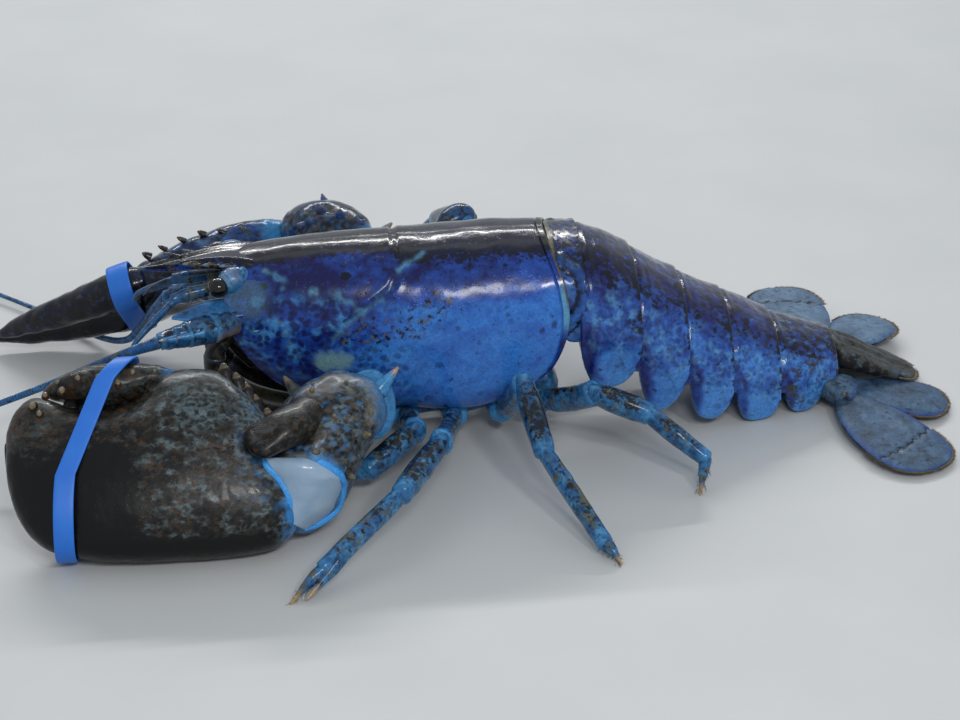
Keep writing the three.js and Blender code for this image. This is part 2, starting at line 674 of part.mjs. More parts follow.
function merus( side, grow = 0 ) {

	const { elbow, merus: radii } = ARM[ side ];
	const hip = CLAW_HIP[ side ];
	const bend = between( hip, elbow, 0.45 );
	bend[ 2 ] -= 1;
	return limb( [
		{ at: between( hip, elbow, 0.06 ), wide: 5, deep: 5.6 },
		{ at: between( hip, bend, 0.7 ), wide: 6, deep: radii[ 0 ] * 0.8 },
		{ at: bend, wide: 6.6, deep: radii[ 0 ] },
		{ at: between( bend, elbow, 0.6 ), wide: 7.6, deep: radii[ 1 ] },
		{ at: elbow, wide: 8.6, deep: radii[ 2 ] },
	], { around: 10, steps: 6, grow } );

}

// Spines along the inner margin of a palm and over the wrist
function palmSpines( side ) {

	const { plane, palm } = claws[ side ];
	const random = seeded( side === LEFT ? 7 : 11 );
	const rows = side === LEFT
		? [ [ 23, 51 ], [ 19, 47.5 ], [ 16, 44 ], [ 13, 39.5 ], [ 9, 34 ] ]
		: [ [ 9, 31 ], [ 16, 35 ], [ 23, 37.4 ], [ 31, 38.4 ], [ 39, 38.5 ], [ 46, 37.6 ] ];
	return rows.map( ( [ along, across ] ) => {

		const reach = 2 + random() * 1.6;
		const lift = 3 + random() * 2;
		const foot = clawPoint( plane, along, across - 1.5, lift );
		return spine( foot, clawPoint( plane, along + 1, across + reach, lift + 1.2 ), 2.2 );

	} );

}

function carpusSpines( side ) {

	if ( side === LEFT ) {

		return [
			spine( [ - 91, - 44, 38 ], [ - 95, - 40, 42.6 ], 2.8, 6 ),
			spine( [ - 84, - 54, 44.5 ], [ - 85.6, - 56, 48.4 ], 2.2 ),
			spine( [ - 74.5, - 57, 46 ], [ - 74, - 59, 50 ], 2.4 ),
			spine( [ - 84.6, - 74, 34 ], [ - 86, - 79.5, 36 ], 2.4 ),
			spine( [ - 71.5, - 66, 33 ], [ - 67.5, - 71, 35.5 ], 3, 6 ),
			spine( [ - 76, - 76, 24 ], [ - 73.5, - 80.5, 24.5 ], 2.4 ),
		];

	}

	return [
		spine( [ - 84, 50, 58 ], [ - 87, 46.5, 60.5 ], 2.4 ),
		spine( [ - 78, 52, 62.5 ], [ - 79, 50.5, 66.5 ], 2.4 ),
		spine( [ - 71, 50, 61.5 ], [ - 71, 48, 65 ], 2.2 ),
		spine( [ - 76, 66, 59 ], [ - 77, 69, 62 ], 2.2 ),
		spine( [ - 64, 50, 57 ], [ - 62, 48.5, 60 ], 2 ),
	];

}

function merusSpine( side ) {

	const [ x, y, z ] = ARM[ side ].elbow;
	return spine( [ x + 5, y, z + 7.5 ], [ x + 10, y - side * 1, z + 13 ], 2.6, 6 );

}

// Abdomen: six rings whose side plates hang down to points
const RING_EDGES = [ 1.4, 13, 33, 51, 68, 86.5, 110 ];
const SWAY = 0.07;
const ringMiddle = ( x ) => Math.max( 0, x - 15 ) * SWAY;
const BACK_LINE = [ [ 0, 75.2 ], [ 13, 74.2 ], [ 23, 69.8 ], [ 33, 63.4 ], [ 43, 56.2 ], [ 60, 46 ],
	[ 77, 37.6 ], [ 90, 29.6 ], [ 111, 22.6 ] ];
// half is the half width at both edges of a ring, tip the height of its side plate's point, plate
// that plate's half length, and front and rear how squarely its two edges run down.
const RINGS = [
	{ half: [ 25, 26.6 ], tip: 40, tipX: 9, plate: 6, front: 2.6, rear: 2.6 },
	{ half: [ 28.6, 28.6 ], tip: 22, tipX: 22, plate: 11, front: 2.6, rear: 2.4 },
	{ half: [ 28.2, 27.6 ], tip: 10, tipX: 41.5, plate: 9, front: 2.2, rear: 1.6 },
	{ half: [ 27, 26 ], tip: 3.6, tipX: 60.5, plate: 8.8, front: 2.4, rear: 1.7 },
	{ half: [ 25, 23.4 ], tip: - 0.4, tipX: 78.4, plate: 8.8, front: 2.6, rear: 3 },
	{ half: [ 22, 16 ], tip: - 0.4, tipX: 96.4, plate: 7.6, front: 2.6, rear: 2 },
];
const PLATE_ROUNDING = 0.62;
const RING_POWER = 2.3;

function backHeight( x ) {

	const after = BACK_LINE.findIndex( ( [ at ] ) => at >= x );
	if ( after <= 0 ) return BACK_LINE[ after === 0 ? 0 : BACK_LINE.length - 1 ][ 1 ];
	const [ x0, z0 ] = BACK_LINE[ after - 1 ];
	const [ x1, z1 ] = BACK_LINE[ after ];
	return THREE.MathUtils.lerp( z0, z1, ( x - x0 ) / ( x1 - x0 ) );

}

// The outline of a ring at x, as seen from behind: over the back, down the side plate
// to its edge, up its inner face and across the belly.
function ringSection( index, x, grow ) {

	const { half, tip, tipX, plate, front, rear } = RINGS[ index ];
	const along = ( x - RING_EDGES[ index ] ) / ( RING_EDGES[ index + 1 ] - RING_EDGES[ index ] );
	const width = THREE.MathUtils.lerp( half[ 0 ], half[ 1 ], along ** 2 ) + grow;
	const top = backHeight( x ) + grow;
	const shoulder = top - ( top - tip ) * 0.56;
	const squareness = x < tipX ? front : rear;
	const share = Math.abs( x - tipX ) / ( plate + grow );
	const reach = Math.max( 0, 1 - share ** squareness ) ** PLATE_ROUNDING;
	const bellyZ = tip + ( top - tip ) * 0.34;
	const edge = THREE.MathUtils.lerp( bellyZ - 1, tip, reach ) - grow;
	const y0 = ringMiddle( x );
	const points = [];
	const arcSteps = 10;
	for ( let i = 0; i <= arcSteps; i ++ ) {

		const angle = i / arcSteps * Math.PI;
		const across = Math.sign( Math.cos( angle ) ) * Math.abs( Math.cos( angle ) ) ** ( 2 / RING_POWER );
		const over = Math.abs( Math.sin( angle ) ) ** ( 2 / RING_POWER );
		points.push( [ across * width, shoulder + over * ( top - shoulder ) ] );

	}

	const outer = width * 0.93;
	const inner = outer - 4.4;
	const leftSide = [
		[ - outer, edge + ( shoulder - edge ) * 0.25 ],
		[ - outer + 1.6, edge ],
		[ - inner, edge + 0.6 ],
		[ - inner + 1, bellyZ ],
	];
	const rightSide = leftSide.map( ( [ y, z ] ) => [ - y, z ] ).reverse();
	points.push( ...leftSide, [ 0, bellyZ + 1 ], ...rightSide );
	return points.map( ( [ y, z ] ) => new THREE.Vector3( x, y0 + y, z ) );

}

function abdomenRing( index, grow = 0 ) {

	const from = RING_EDGES[ index ] - grow;
	const to = RING_EDGES[ index + 1 ] - GAP + grow;
	const { tipX } = RINGS[ index ];
	const shares = [ 0, 0.12, 0.26, 0.4, 0.56, 0.72, 0.86, 1 ];
	const places = shares.map( ( share ) => THREE.MathUtils.lerp( from, to, share ) );
	const off = places.map( ( x ) => Math.abs( x - tipX ) );
	places[ off.indexOf( Math.min( ...off ) ) ] = tipX;
	return skin( places.map( ( x ) => ringSection( index, x, grow ) ) );

}

// Paddles under the abdomen
function swimmeret( index, side ) {

	const { half, tip, tipX } = RINGS[ index ];
	const top = tip + ( backHeight( tipX ) - tip ) * 0.36;
	const y = ringMiddle( tipX ) + side * half[ 0 ] * 0.42;
	const low = Math.max( tip + 1.5, 2 );
	return limb( [
		{ at: [ tipX - 3, y, top + 3 ], wide: 3.6, deep: 1.6 },
		{ at: [ tipX - 1, y, THREE.MathUtils.lerp( top, low, 0.35 ) ], wide: 4.8, deep: 1.2 },
		{ at: [ tipX + 3, y, THREE.MathUtils.lerp( top, low, 0.8 ) ], wide: 4, deep: 0.9 },
		{ at: [ tipX + 5, y, low ], wide: 1.2, deep: 0.5 },
	], { up: [ 1, 0, 0 ], around: 6, steps: 3 } );

}

// Tail fan
const FAN_YAW = THREE.MathUtils.degToRad( 8.2 );
const TELSON_ROOT = [ 110.3, 7.3 ];

function telson( grow = 0 ) {

	const [ x, y ] = TELSON_ROOT;
	const at = ( back, z ) => [ x + back * Math.cos( FAN_YAW ), y + back * Math.sin( FAN_YAW ), z ];
	return limb( [
		{ at: at( 0, 16.4 ), wide: 12.5, deep: 4.8 },
		{ at: at( 7, 13.6 ), wide: 13.6, deep: 4.2 },
		{ at: at( 16, 9.4 ), wide: 13.2, deep: 3 },
		{ at: at( 25, 5.4 ), wide: 11.8, deep: 1.9 },
		{ at: at( 31, 3 ), wide: 8.4, deep: 1.2 },
		{ at: at( 34, 2.2 ), wide: 3, deep: 0.7 },
	], { around: 14, steps: 9, power: 2.6, grow } );

}

// Each blade: where it starts, its heading from the body's axis in degrees, its length,
// its widths along that length, and the heights of its root and tip.
const FAN = {
	[ LEFT ]: {
		root: [ 105.5, - 8.5, 9 ], knuckle: [ 114.5, - 12, 7 ],
		endopod: { from: [ 115, - 6.5, 6 ], heading: - 15, length: 36, half: 12.5, tip: 1.8 },
		exopod: { from: [ 111.5, - 14.5, 5.6 ], heading: - 64.5, length: 51.5, half: 15, tip: 2 },
	},
	[ RIGHT ]: {
		root: [ 107, 19, 9 ], knuckle: [ 111.5, 25, 8.4 ],
		endopod: { from: [ 113.5, 23, 7.6 ], heading: 44, length: 37, half: 12, tip: 5 },
		exopod: { from: [ 108.5, 28.5, 8 ], heading: 97, length: 47, half: 14.4, tip: 7.5 },
	},
};
const BLADE_PROFILE = [ 0.34, 0.7, 0.92, 1, 0.98, 0.82, 0.5, 0.12 ];
const BLADE_THICKNESS = [ 2.6, 2.1, 1.6, 1.35, 1.2, 1, 0.8, 0.5 ];

function blade( { from, heading, length, half, tip }, grow = 0 ) {

	const turn = THREE.MathUtils.degToRad( heading );
	const stations = BLADE_PROFILE.map( ( share, i ) => {

		const t = i / ( BLADE_PROFILE.length - 1 );
		const reach = length * Math.sin( t * Math.PI / 2 ) ** 1.15;
		return {
			at: [
				from[ 0 ] + reach * Math.cos( turn ),
				from[ 1 ] + reach * Math.sin( turn ),
				THREE.MathUtils.lerp( from[ 2 ], tip, reach / length ),
			],
			wide: half * share,
			deep: BLADE_THICKNESS[ i ],
		};

	} );
	return limb( stations, { around: 10, steps: 8, power: 2.5, grow } );

}

// The hinge line that crosses an outer blade, with its row of small teeth.
function hingeSlab( { from, heading, length, half }, share, thickness ) {

	const turn = THREE.MathUtils.degToRad( heading );
	const along = new THREE.Vector3( Math.cos( turn ), Math.sin( turn ), 0 );
	const across = new THREE.Vector3( - Math.sin( turn ), Math.cos( turn ), 0 );
	const middle = vector( from ).addScaledVector( along, length * share );
	const sections = [];
	const teeth = 8;
	for ( let i = 0; i <= 2 * teeth; i ++ ) {

		const k = i / ( 2 * teeth ) * 2 - 1;
		const bow = - 3.2 * k * k + ( i % 2 ? 0.9 : - 0.9 );
		const centre = middle.clone().addScaledVector( across, k * half * 1.3 ).addScaledVector( along, bow );
		sections.push( [ [ - 0.5, - 12 ], [ 0.5, - 12 ], [ 0.5, 12 ], [ - 0.5, 12 ] ].map( ( [ edge, z ] ) =>
			centre.clone().addScaledVector( along, edge * thickness ).setZ( centre.z + z ) ) );

	}

	return skin( sections );

}

function fanRoot( side, grow = 0 ) {

	const { root, knuckle } = FAN[ side ];
	return limb( [
		{ at: root, wide: 5.4, deep: 4.6 },
		{ at: between( root, knuckle, 0.6 ), wide: 7.4, deep: 4.8 },
		{ at: knuckle, wide: 7.8, deep: 3.6 },
	], { around: 10, steps: 4, grow } );

}

// Assembly: each piece is cut clear of its neighbour so that faces meet across the gap.
const head = cut( join( [ carapaceBody(), rostrum() ] ), orbits );
node( 'carapace', head, COLOURS.shell );

const movedHeads = [ - GAP, GAP ].map( ( dx ) => head.translate( [ dx, 0, 0 ] ) );
const carapaceRoom = join( [ carapaceBody( GAP ), ...movedHeads ] );
const ringRoom = RINGS.map( ( ring, i ) => abdomenRing( i, GAP ) );
const thoraxSolid = cut( thorax(), [ carapaceRoom, ringRoom[ 0 ], ringRoom[ 1 ] ] );
node( 'thorax_underside', thoraxSolid, COLOURS.belly );

RINGS.forEach( ( ring, i ) => {

	const hasPaddles = i > 0 && i < RINGS.length - 1;
	const paddles = hasPaddles ? [ LEFT, RIGHT ].map( ( side ) => swimmeret( i, side ) ) : [];
	const others = ringRoom.filter( ( room, k ) => Math.abs( k - i ) === 1 );
	const tools = i === 0 ? [ carapaceRoom ] : [ ...others, carapaceRoom ];
	node( `abdomen_${ i + 1 }`, cut( join( [ abdomenRing( i ), ...paddles ] ), tools ), COLOURS.shell );

} );

const lastRing = join( [ ringRoom[ 5 ], abdomenRing( 5 ), abdomenRing( 5 ).translate( [ GAP, 0, 0 ] ) ] );
node( 'telson', cut( telson(), [ lastRing ] ), COLOURS.fan );

for ( const side of [ LEFT, RIGHT ] ) {

	const word = sideName( side );
	const { endopod, exopod } = FAN[ side ];
	const rootSolid = cut( fanRoot( side ), [ lastRing, telson( GAP ) ] );
	node( `${ word }_uropod_base`, rootSolid, COLOURS.fan );
	const rootRoom = fanRoot( side, GAP );
	const inner = cut( blade( endopod ), [ rootRoom, telson( GAP ), lastRing ] );
	node( `${ word }_uropod_inner`, inner, COLOURS.fan );
	const outer = cut( blade( exopod ), [ rootRoom, telson( GAP ), blade( endopod, GAP ), lastRing ] );
	const parted = outer.subtract( hingeSlab( exopod, 0.7, 0.5 ) ).decompose();
	const halves = parted.sort( ( a, b ) => b.volume() - a.volume() );
	node( `${ word }_uropod_outer`, halves[ 0 ], COLOURS.fan );
	node( `${ word }_uropod_outer_tip`, halves[ 1 ], COLOURS.fan );

	node( `${ word }_eyestalk`, cut( eyestalk( side ), [ cornea( side, GAP ) ] ), COLOURS.leg );
	node( `${ word }_eye`, cornea( side ), COLOURS.eye );

	const baseRoom = antennaBase( side, GAP );
	node( `${ word }_antenna_base`, cut( antennaBase( side ), [ carapaceRoom ] ), COLOURS.leg );
	node( `${ word }_antenna`, cut( flagellum( side ), [ baseRoom ] ), COLOURS.leg );
	node( `${ word }_antennal_scale`, cut( antennalScale( side ), [ carapaceRoom, baseRoom ] ), COLOURS.leg );
	node( `${ word }_antennule`, cut( antennule( side ), [ carapaceRoom ] ), COLOURS.leg );

	node( `${ word }_maxilliped`, cut( maxilliped( side ), [ carapaceRoom, thorax() ] ), COLOURS.claw );

	const { name, band } = claws[ side ];
	const palmRoom = clawPalm( side, GAP );
	const fingerRoom = clawFinger( side, GAP );
	const carpusRoom = carpus( side, GAP );
	const palm = cut( join( [ clawPalm( side ), ...palmSpines( side ) ] ), [ fingerRoom, carpusRoom ] );
	node( `${ name }_palm`, palm, COLOURS.claw );
	node( `${ name }_finger`, clawFinger( side ), COLOURS.claw );
	node( `${ name }_band`, cut( clawBand( side ), [ palmRoom, fingerRoom ] ), COLOURS.band );
	node( `${ name }_wrist`, join( [ carpus( side ), ...carpusSpines( side ) ] ), COLOURS.claw );
	const arm = join( [ merus( side ), merusSpine( side ) ] );
	node( `${ name }_arm`, cut( arm, [ carpusRoom, carapaceRoom, thorax() ] ), COLOURS.leg );

}

for ( const name of Object.keys( LEGS ) ) {

	const [ word, number ] = name.split( '_' );
	const thigh = upperLeg( name );
	node( `${ word }_leg_${ number }_upper`, cut( thigh, [ carapaceRoom, thorax() ] ), COLOURS.leg );
	node( `${ word }_leg_${ number }_lower`, cut( lowerLeg( name ), [ upperLeg( name, GAP ) ] ), COLOURS.leg );

}

// The finished animal stands with its bounding box centred over the origin.
const box = new THREE.Box3().setFromObject( animal );
animal.position.set( - ( box.min.x + box.max.x ) / 2, - ( box.min.y + box.max.y ) / 2, - box.min.z );
const group = new THREE.Group();
group.add( animal );

export default group;
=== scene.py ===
import json

import bpy
import numpy as np
from mathutils import Matrix, Vector

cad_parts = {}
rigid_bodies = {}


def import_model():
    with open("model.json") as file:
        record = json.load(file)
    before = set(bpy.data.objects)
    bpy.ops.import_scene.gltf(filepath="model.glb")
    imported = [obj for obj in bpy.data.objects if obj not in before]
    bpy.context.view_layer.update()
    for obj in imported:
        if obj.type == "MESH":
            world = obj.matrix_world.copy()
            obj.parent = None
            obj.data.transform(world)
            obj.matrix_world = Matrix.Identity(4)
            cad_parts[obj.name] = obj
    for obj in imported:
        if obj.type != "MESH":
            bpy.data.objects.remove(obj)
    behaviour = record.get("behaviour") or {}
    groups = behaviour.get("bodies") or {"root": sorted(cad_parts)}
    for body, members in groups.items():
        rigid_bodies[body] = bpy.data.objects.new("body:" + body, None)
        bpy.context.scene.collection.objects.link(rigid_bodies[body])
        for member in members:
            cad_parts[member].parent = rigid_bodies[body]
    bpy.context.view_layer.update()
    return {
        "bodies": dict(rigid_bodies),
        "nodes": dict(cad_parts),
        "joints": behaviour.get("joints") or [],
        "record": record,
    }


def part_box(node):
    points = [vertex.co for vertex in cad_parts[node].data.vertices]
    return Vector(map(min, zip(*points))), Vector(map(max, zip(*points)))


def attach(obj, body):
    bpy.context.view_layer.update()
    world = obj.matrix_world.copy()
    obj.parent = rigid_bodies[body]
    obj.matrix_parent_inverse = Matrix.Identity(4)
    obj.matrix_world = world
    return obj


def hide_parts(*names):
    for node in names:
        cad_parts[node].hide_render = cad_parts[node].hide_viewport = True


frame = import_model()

# Floor, light and camera
# The animal rests on a plain pale floor. A long lamp behind it draws the thin line of light along
# its wet back, two small ones in front draw the patches on its flank and tail, and one overhead
# fills the rest.

# Sizes are in millimetres: x runs from head to tail with zero at the rear edge of the carapace,
# y is zero on the midline and negative on the animal's left, and z is zero on the floor.
CARAPACE_LENGTH = 110
FRONT = -CARAPACE_LENGTH
EYE_CENTRE = np.array([FRONT - 6.6, 14.8, 65.3])
METRES = 0.001
PER_METRE = 1000

left_eye_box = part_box("left_eye")
right_eye_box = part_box("right_eye")
SHIFT = np.array([
    (left_eye_box[0].x + left_eye_box[1].x) / 2 / METRES - EYE_CENTRE[0],
    (left_eye_box[0].y + right_eye_box[1].y) / 2 / METRES,
    0,
])


def placed(points):
    """Millimetres about the animal, as metres in the frame of the solids."""
    return (np.asarray(points, float) + SHIFT) * METRES


def colour(code):
    """An sRGB hex colour as linear red, green, blue and alpha."""
    channels = [int(code[i:i + 2], 16) / 255 for i in (1, 3, 5)]
    linear = [c / 12.92 if c <= 0.04045 else ((c + 0.055) / 1.055) ** 2.4 for c in channels]
    return (*linear, 1)


def add(tree, kind, settings=None, links=None):
    """Adds a shader node, sets its properties and sockets, and links its inputs."""
    made = tree.nodes.new("ShaderNode" + kind)
    for key, value in (settings or {}).items():
        if isinstance(key, str) and hasattr(made, key):
            setattr(made, key, value)
        else:
            made.inputs[key].default_value = value
    for key, source in (links or {}).items():
        if not isinstance(source, bpy.types.NodeSocket):
            source = source.outputs[0]
        tree.links.new(source, made.inputs[key])
    return made


# A colour mix repeats the names of its sockets for every kind of value, so numbers tell them apart.
MIX_AMOUNT, MIX_FIRST, MIX_SECOND, MIX_RESULT = 0, 6, 7, 2


def new_material(name, sockets):
    """A material whose shader has the given values on its sockets, with its node tree and shader."""
    material = bpy.data.materials.new(name)
    material.use_nodes = True
    tree = material.node_tree
    shader = tree.nodes["Principled BSDF"]
    for key, value in sockets.items():
        shader.inputs[key].default_value = value
    return material, tree, shader


def two_tint_material(name, tints, mottle_mm, detail, sockets, relief=None):
    """A material that drifts between two tints. Relief is a pattern, its settings, strength and depth."""
    material, tree, shader = new_material(name, sockets)
    place = add(tree, "TexCoord").outputs["Object"]
    mottle = add(tree, "TexNoise", {"Scale": PER_METRE / mottle_mm, "Detail": detail}, {"Vector": place})
    tint = add(tree, "Mix", {"data_type": "RGBA", MIX_FIRST: colour(tints[0]), MIX_SECOND: colour(tints[1])},
               {MIX_AMOUNT: mottle})
    tree.links.new(tint.outputs[MIX_RESULT], shader.inputs["Base Color"])
    if relief:
        pattern, settings, strength, depth_mm = relief
        height = add(tree, pattern, settings, {"Vector": place})
        bump = add(tree, "Bump", {"Strength": strength, "Distance": depth_mm * METRES}, {"Height": height})
        tree.links.new(bump.outputs[0], shader.inputs["Normal"])
    return material


# Sealed screed: a matt mineral surface with a faint mottle and no texture that the eye can follow.
SCREED_MOTTLE_MM = 60
screed = two_tint_material("sealed_screed", ("#b9bbba", "#c6c7c5"), SCREED_MOTTLE_MM, 4.0,
                           {"Roughness": 0.5})

FLOOR_REACH = 3000
floor_mesh = bpy.data.meshes.new("floor")
corners = [(-FLOOR_REACH, -FLOOR_REACH, 0), (FLOOR_REACH, -FLOOR_REACH, 0),
           (FLOOR_REACH, FLOOR_REACH, 0), (-FLOOR_REACH, FLOOR_REACH, 0)]
floor_mesh.from_pydata([tuple(p) for p in placed(corners)], [], [(0, 1, 2, 3)])
floor_mesh.materials.append(screed)
floor = bpy.data.objects.new("floor", floor_mesh)
bpy.context.scene.collection.objects.link(floor)

CAMERA_AIM = (-19.34, 42.95, 0)
CAMERA_DISTANCE = 934
CAMERA_DOWN = np.radians(28.398)
CAMERA_TURN = np.radians(5.043)
CAMERA_ROLL = np.radians(-0.868)
LENS_MM = 90
SENSOR_MM = 36
CAMERA_REACH_M = 20

ahead = np.array([np.sin(CAMERA_TURN) * np.cos(CAMERA_DOWN),
                  np.cos(CAMERA_TURN) * np.cos(CAMERA_DOWN), -np.sin(CAMERA_DOWN)])
level_right = np.array([np.cos(CAMERA_TURN), -np.sin(CAMERA_TURN), 0])
level_up = np.cross(level_right, ahead)
right = np.cos(CAMERA_ROLL) * level_right + np.sin(CAMERA_ROLL) * level_up
up = -np.sin(CAMERA_ROLL) * level_right + np.cos(CAMERA_ROLL) * level_up
camera_data = bpy.data.cameras.new("camera")
camera_data.lens = LENS_MM
camera_data.sensor_width = SENSOR_MM
camera_data.clip_end = CAMERA_REACH_M
camera = bpy.data.objects.new("camera", camera_data)
camera_place = placed(np.array(CAMERA_AIM) - CAMERA_DISTANCE * ahead)
camera.matrix_world = Matrix(((right[0], up[0], -ahead[0], camera_place[0]),
                              (right[1], up[1], -ahead[1], camera_place[1]),
                              (right[2], up[2], -ahead[2], camera_place[2]),
                              (0, 0, 0, 1)))
bpy.context.scene.collection.objects.link(camera)
bpy.context.scene.camera = camera
bpy.context.scene.view_settings.view_transform = "Standard"

# name, place, aim, length, width, watts
SOFTBOXES = [
    ("back_strip", (-60, 830, 640), (-20, 0, 60), 1100, 22, 5.0),
    ("flank_window", (8, -690, 620), (-30, 0, 50), 160, 150, 1.7),
    ("tail_window", (240, -660, 650), (50, 0, 30), 90, 80, 1.4),
    ("overhead_softbox", (-150, 700, 1350), (-20, 0, 0), 1200, 260, 0.8),
]
for name, at, aim, length, width, watts in SOFTBOXES:
    lamp_data = bpy.data.lights.new(name, "AREA")
    lamp_data.shape = "RECTANGLE"
    lamp_data.size = length * METRES
    lamp_data.size_y = width * METRES
    lamp_data.energy = watts
    lamp = bpy.data.objects.new(name, lamp_data)
    towards = Vector(aim) - Vector(at)
    lamp.rotation_euler = towards.to_track_quat("-Z", "Y").to_euler()
    lamp.location = placed(at)
    bpy.context.scene.collection.objects.link(lamp)

SKY_STRENGTH = 0.64
world = bpy.data.worlds.new("overcast")
world.use_nodes = True
sky = world.node_tree.nodes["Background"]
sky.inputs["Color"].default_value = colour("#dfe6ee")
sky.inputs["Strength"].default_value = SKY_STRENGTH
bpy.context.scene.world = world


# Carapace
# One hard calcified shell over head and thorax, creased by the cervical groove and edged by a
# thick rim. It is grown in one piece, wet, and mottled by pigment that lies under a clear skin.

# Each point of a mesh carries marks from 0 to 1: tone leads from the deep tint to the bright one,
# dark and warm spread ragged patches, net lays a paler ground under dark blots, and rim and cream
# cover evenly.
MARKS = ("tone", "dark", "net", "warm", "rim", "cream")
TURN = 2 * np.pi


def through(values, t):
    """A smooth curve through evenly spaced values, t running from 0 to 1."""
    points = np.asarray(values, float)
    padded = np.array([2 * points[0] - points[1], *points, 2 * points[-1] - points[-2]])
    span = np.clip(np.asarray(t, float), 0, 1) * (len(points) - 1)
    start = np.minimum(span.astype(int), len(points) - 2)
    share = span - start
    if points.ndim > 1:
        share = share[..., None]
    before, here, after, beyond = (padded[start + k] for k in range(4))
    return 0.5 * (2 * here + (after - before) * share
                  + (2 * before - 5 * here + 4 * after - beyond) * share ** 2
                  + (3 * here - before - 3 * after + beyond) * share ** 3)


def smooth(low, high, value):
    """0 below low, 1 above high and smooth between; low above high turns it round."""
    share = np.clip((np.asarray(value, float) - low) / (high - low), 0, 1)
    return share * share * (3 - 2 * share)


def hump(value, middle, reach):
    """A rounded hump of height 1 about the middle value."""
    return np.exp(-((value - middle) / reach) ** 2)


def oval(angle, power):
    """Across and over of a superellipse at each angle."""
    across = np.sign(np.cos(angle)) * np.abs(np.cos(angle)) ** (2 / power)
    over = np.sign(np.sin(angle)) * np.abs(np.sin(angle)) ** (2 / power)
    return across, over


def ripple(points, size, seed, waves=26):
    """Seeded unevenness from about -1 to 1, with swells about size millimetres apart."""
    random = np.random.default_rng(seed)
    heading = random.normal(size=(waves, 3))
    heading /= np.linalg.norm(heading, axis=1)[:, None]
    phase = random.uniform(0, TURN, waves)
    length = size * random.uniform(0.7, 1.7, waves)
    total = np.zeros(points.shape[:-1])
    for k in range(waves):
        total += np.sin(points @ heading[k] * TURN / length[k] + phase[k])
    return total / np.sqrt(waves)


def outward(points):
    """Unit normals of a tube's grid of points, pointing away from the middle of each ring."""
    along = np.gradient(points, axis=0)
    around = np.roll(points, -1, 1) - np.roll(points, 1, 1)
    normal = np.cross(along, around)
    normal /= np.maximum(np.linalg.norm(normal, axis=-1, keepdims=True), 1e-9)
    away = points - points.mean(1, keepdims=True)
    return normal * (1 if (normal * away).sum() > 0 else -1)


def raised(points, height):
    """A tube's grid of points, each moved outward by its height."""
    return points + outward(points) * np.asarray(height)[..., None]


def line_distance(points, line):
    """How far each point lies from a chain of straight stretches, and how far along it is."""
    line = np.asarray(line, float)
    nearest = np.full(points.shape[:-1], np.inf)
    share = np.zeros(points.shape[:-1])
    for k in range(len(line) - 1):
        step = line[k + 1] - line[k]
        along = np.clip(((points - line[k]) @ step) / (step @ step), 0, 1)
        away = np.linalg.norm(points - line[k] - along[..., None] * step, axis=-1)
        closer = away < nearest
        nearest = np.where(closer, away, nearest)
        share = np.where(closer, (k + along) / (len(line) - 1), share)
    return nearest, share


def spot(points, at, reach):
    """1 at a place and 0 beyond its reach."""
    return smooth(reach, 0.35 * reach, np.linalg.norm(points - np.asarray(at, float), axis=-1))


def skin(points, **marks):
    """A closed surface over a grid of rings, with its marks, as vertices and faces."""
    rings, around = points.shape[:2]
    index = np.arange(rings * around).reshape(rings, around)
    turned = np.roll(index, -1, 1)
    quads = np.stack([index[:-1], turned[:-1], turned[1:], index[1:]], -1).reshape(-1, 4)
    first, last = rings * around, rings * around + 1
    start_cap = np.stack([np.full(around, first), turned[0], index[0]], -1)
    end_cap = np.stack([np.full(around, last), index[-1], turned[-1]], -1)
    vertices = np.concatenate([points.reshape(-1, 3), points[:1].mean(1), points[-1:].mean(1)])
    corners = vertices[np.concatenate([quads[:, :3], quads[:, [0, 2, 3]], start_cap, end_cap])]
    if np.einsum("ij,ij->", corners[:, 0], np.cross(corners[:, 1], corners[:, 2])) < 0:
        quads, start_cap, end_cap = quads[:, ::-1], start_cap[:, ::-1], end_cap[:, ::-1]
    values = {}
    for mark in MARKS:
        grid = np.broadcast_to(np.asarray(marks.get(mark, 0), float), (rings, around))
        values[mark] = np.concatenate([grid.ravel(), [grid[0].mean(), grid[-1].mean()]])
    faces = quads.tolist() + start_cap.tolist() + end_cap.tolist()
    return {"vertices": vertices, "faces": faces, "marks": values}


def build_piece(name, forms, material, slot, *nodes):
    """Joins forms into one mesh that rides on the animal and stands for its solids."""
    vertices, faces, start = [], [], 0
    marks = {mark: [] for mark in MARKS}
    for form in forms:
        vertices.append(form["vertices"])
        faces += [[corner + start for corner in face] for face in form["faces"]]
        start += len(form["vertices"])
        for mark in MARKS:
            marks[mark].append(form["marks"][mark])
    mesh = bpy.data.meshes.new(name)
    joined = np.concatenate(vertices)
    joined[:, 2] = np.maximum(joined[:, 2], 0)
    mesh.from_pydata(placed(joined).tolist(), [], faces)
    for mark in MARKS:
        attribute = mesh.attributes.new(mark, "FLOAT", "POINT")
        values = np.clip(np.concatenate(marks[mark]), 0, 1)
        attribute.data.foreach_set("value", values.astype(np.float32))
    mesh.polygons.foreach_set("use_smooth", np.ones(len(mesh.polygons), bool))
    mesh.materials.append(material)
    made = bpy.data.objects.new(name, mesh)
    bpy.context.scene.collection.objects.link(made)
    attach(made, "root")
    if nodes:
        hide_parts(*nodes)


# Wet chitin: a hard shell whose pigment lies in clouds, dots, blotches and a net under a clear
# outer skin. The film of water on it gives a sharp glint over a softer sheen.
CLOUD_MM = 16
CLUMP_MM = 9
PIT_MM = 1.5
GRAIN_MM = 0.9
STIR_MM = 3
RELIEF_MM = 0.13
CLOUD_STRENGTH = 0.9
CHITIN_IOR = 1.54
WATER_IOR = 1.33
SOFT_STEP = {"interpolation_type": "SMOOTHSTEP"}


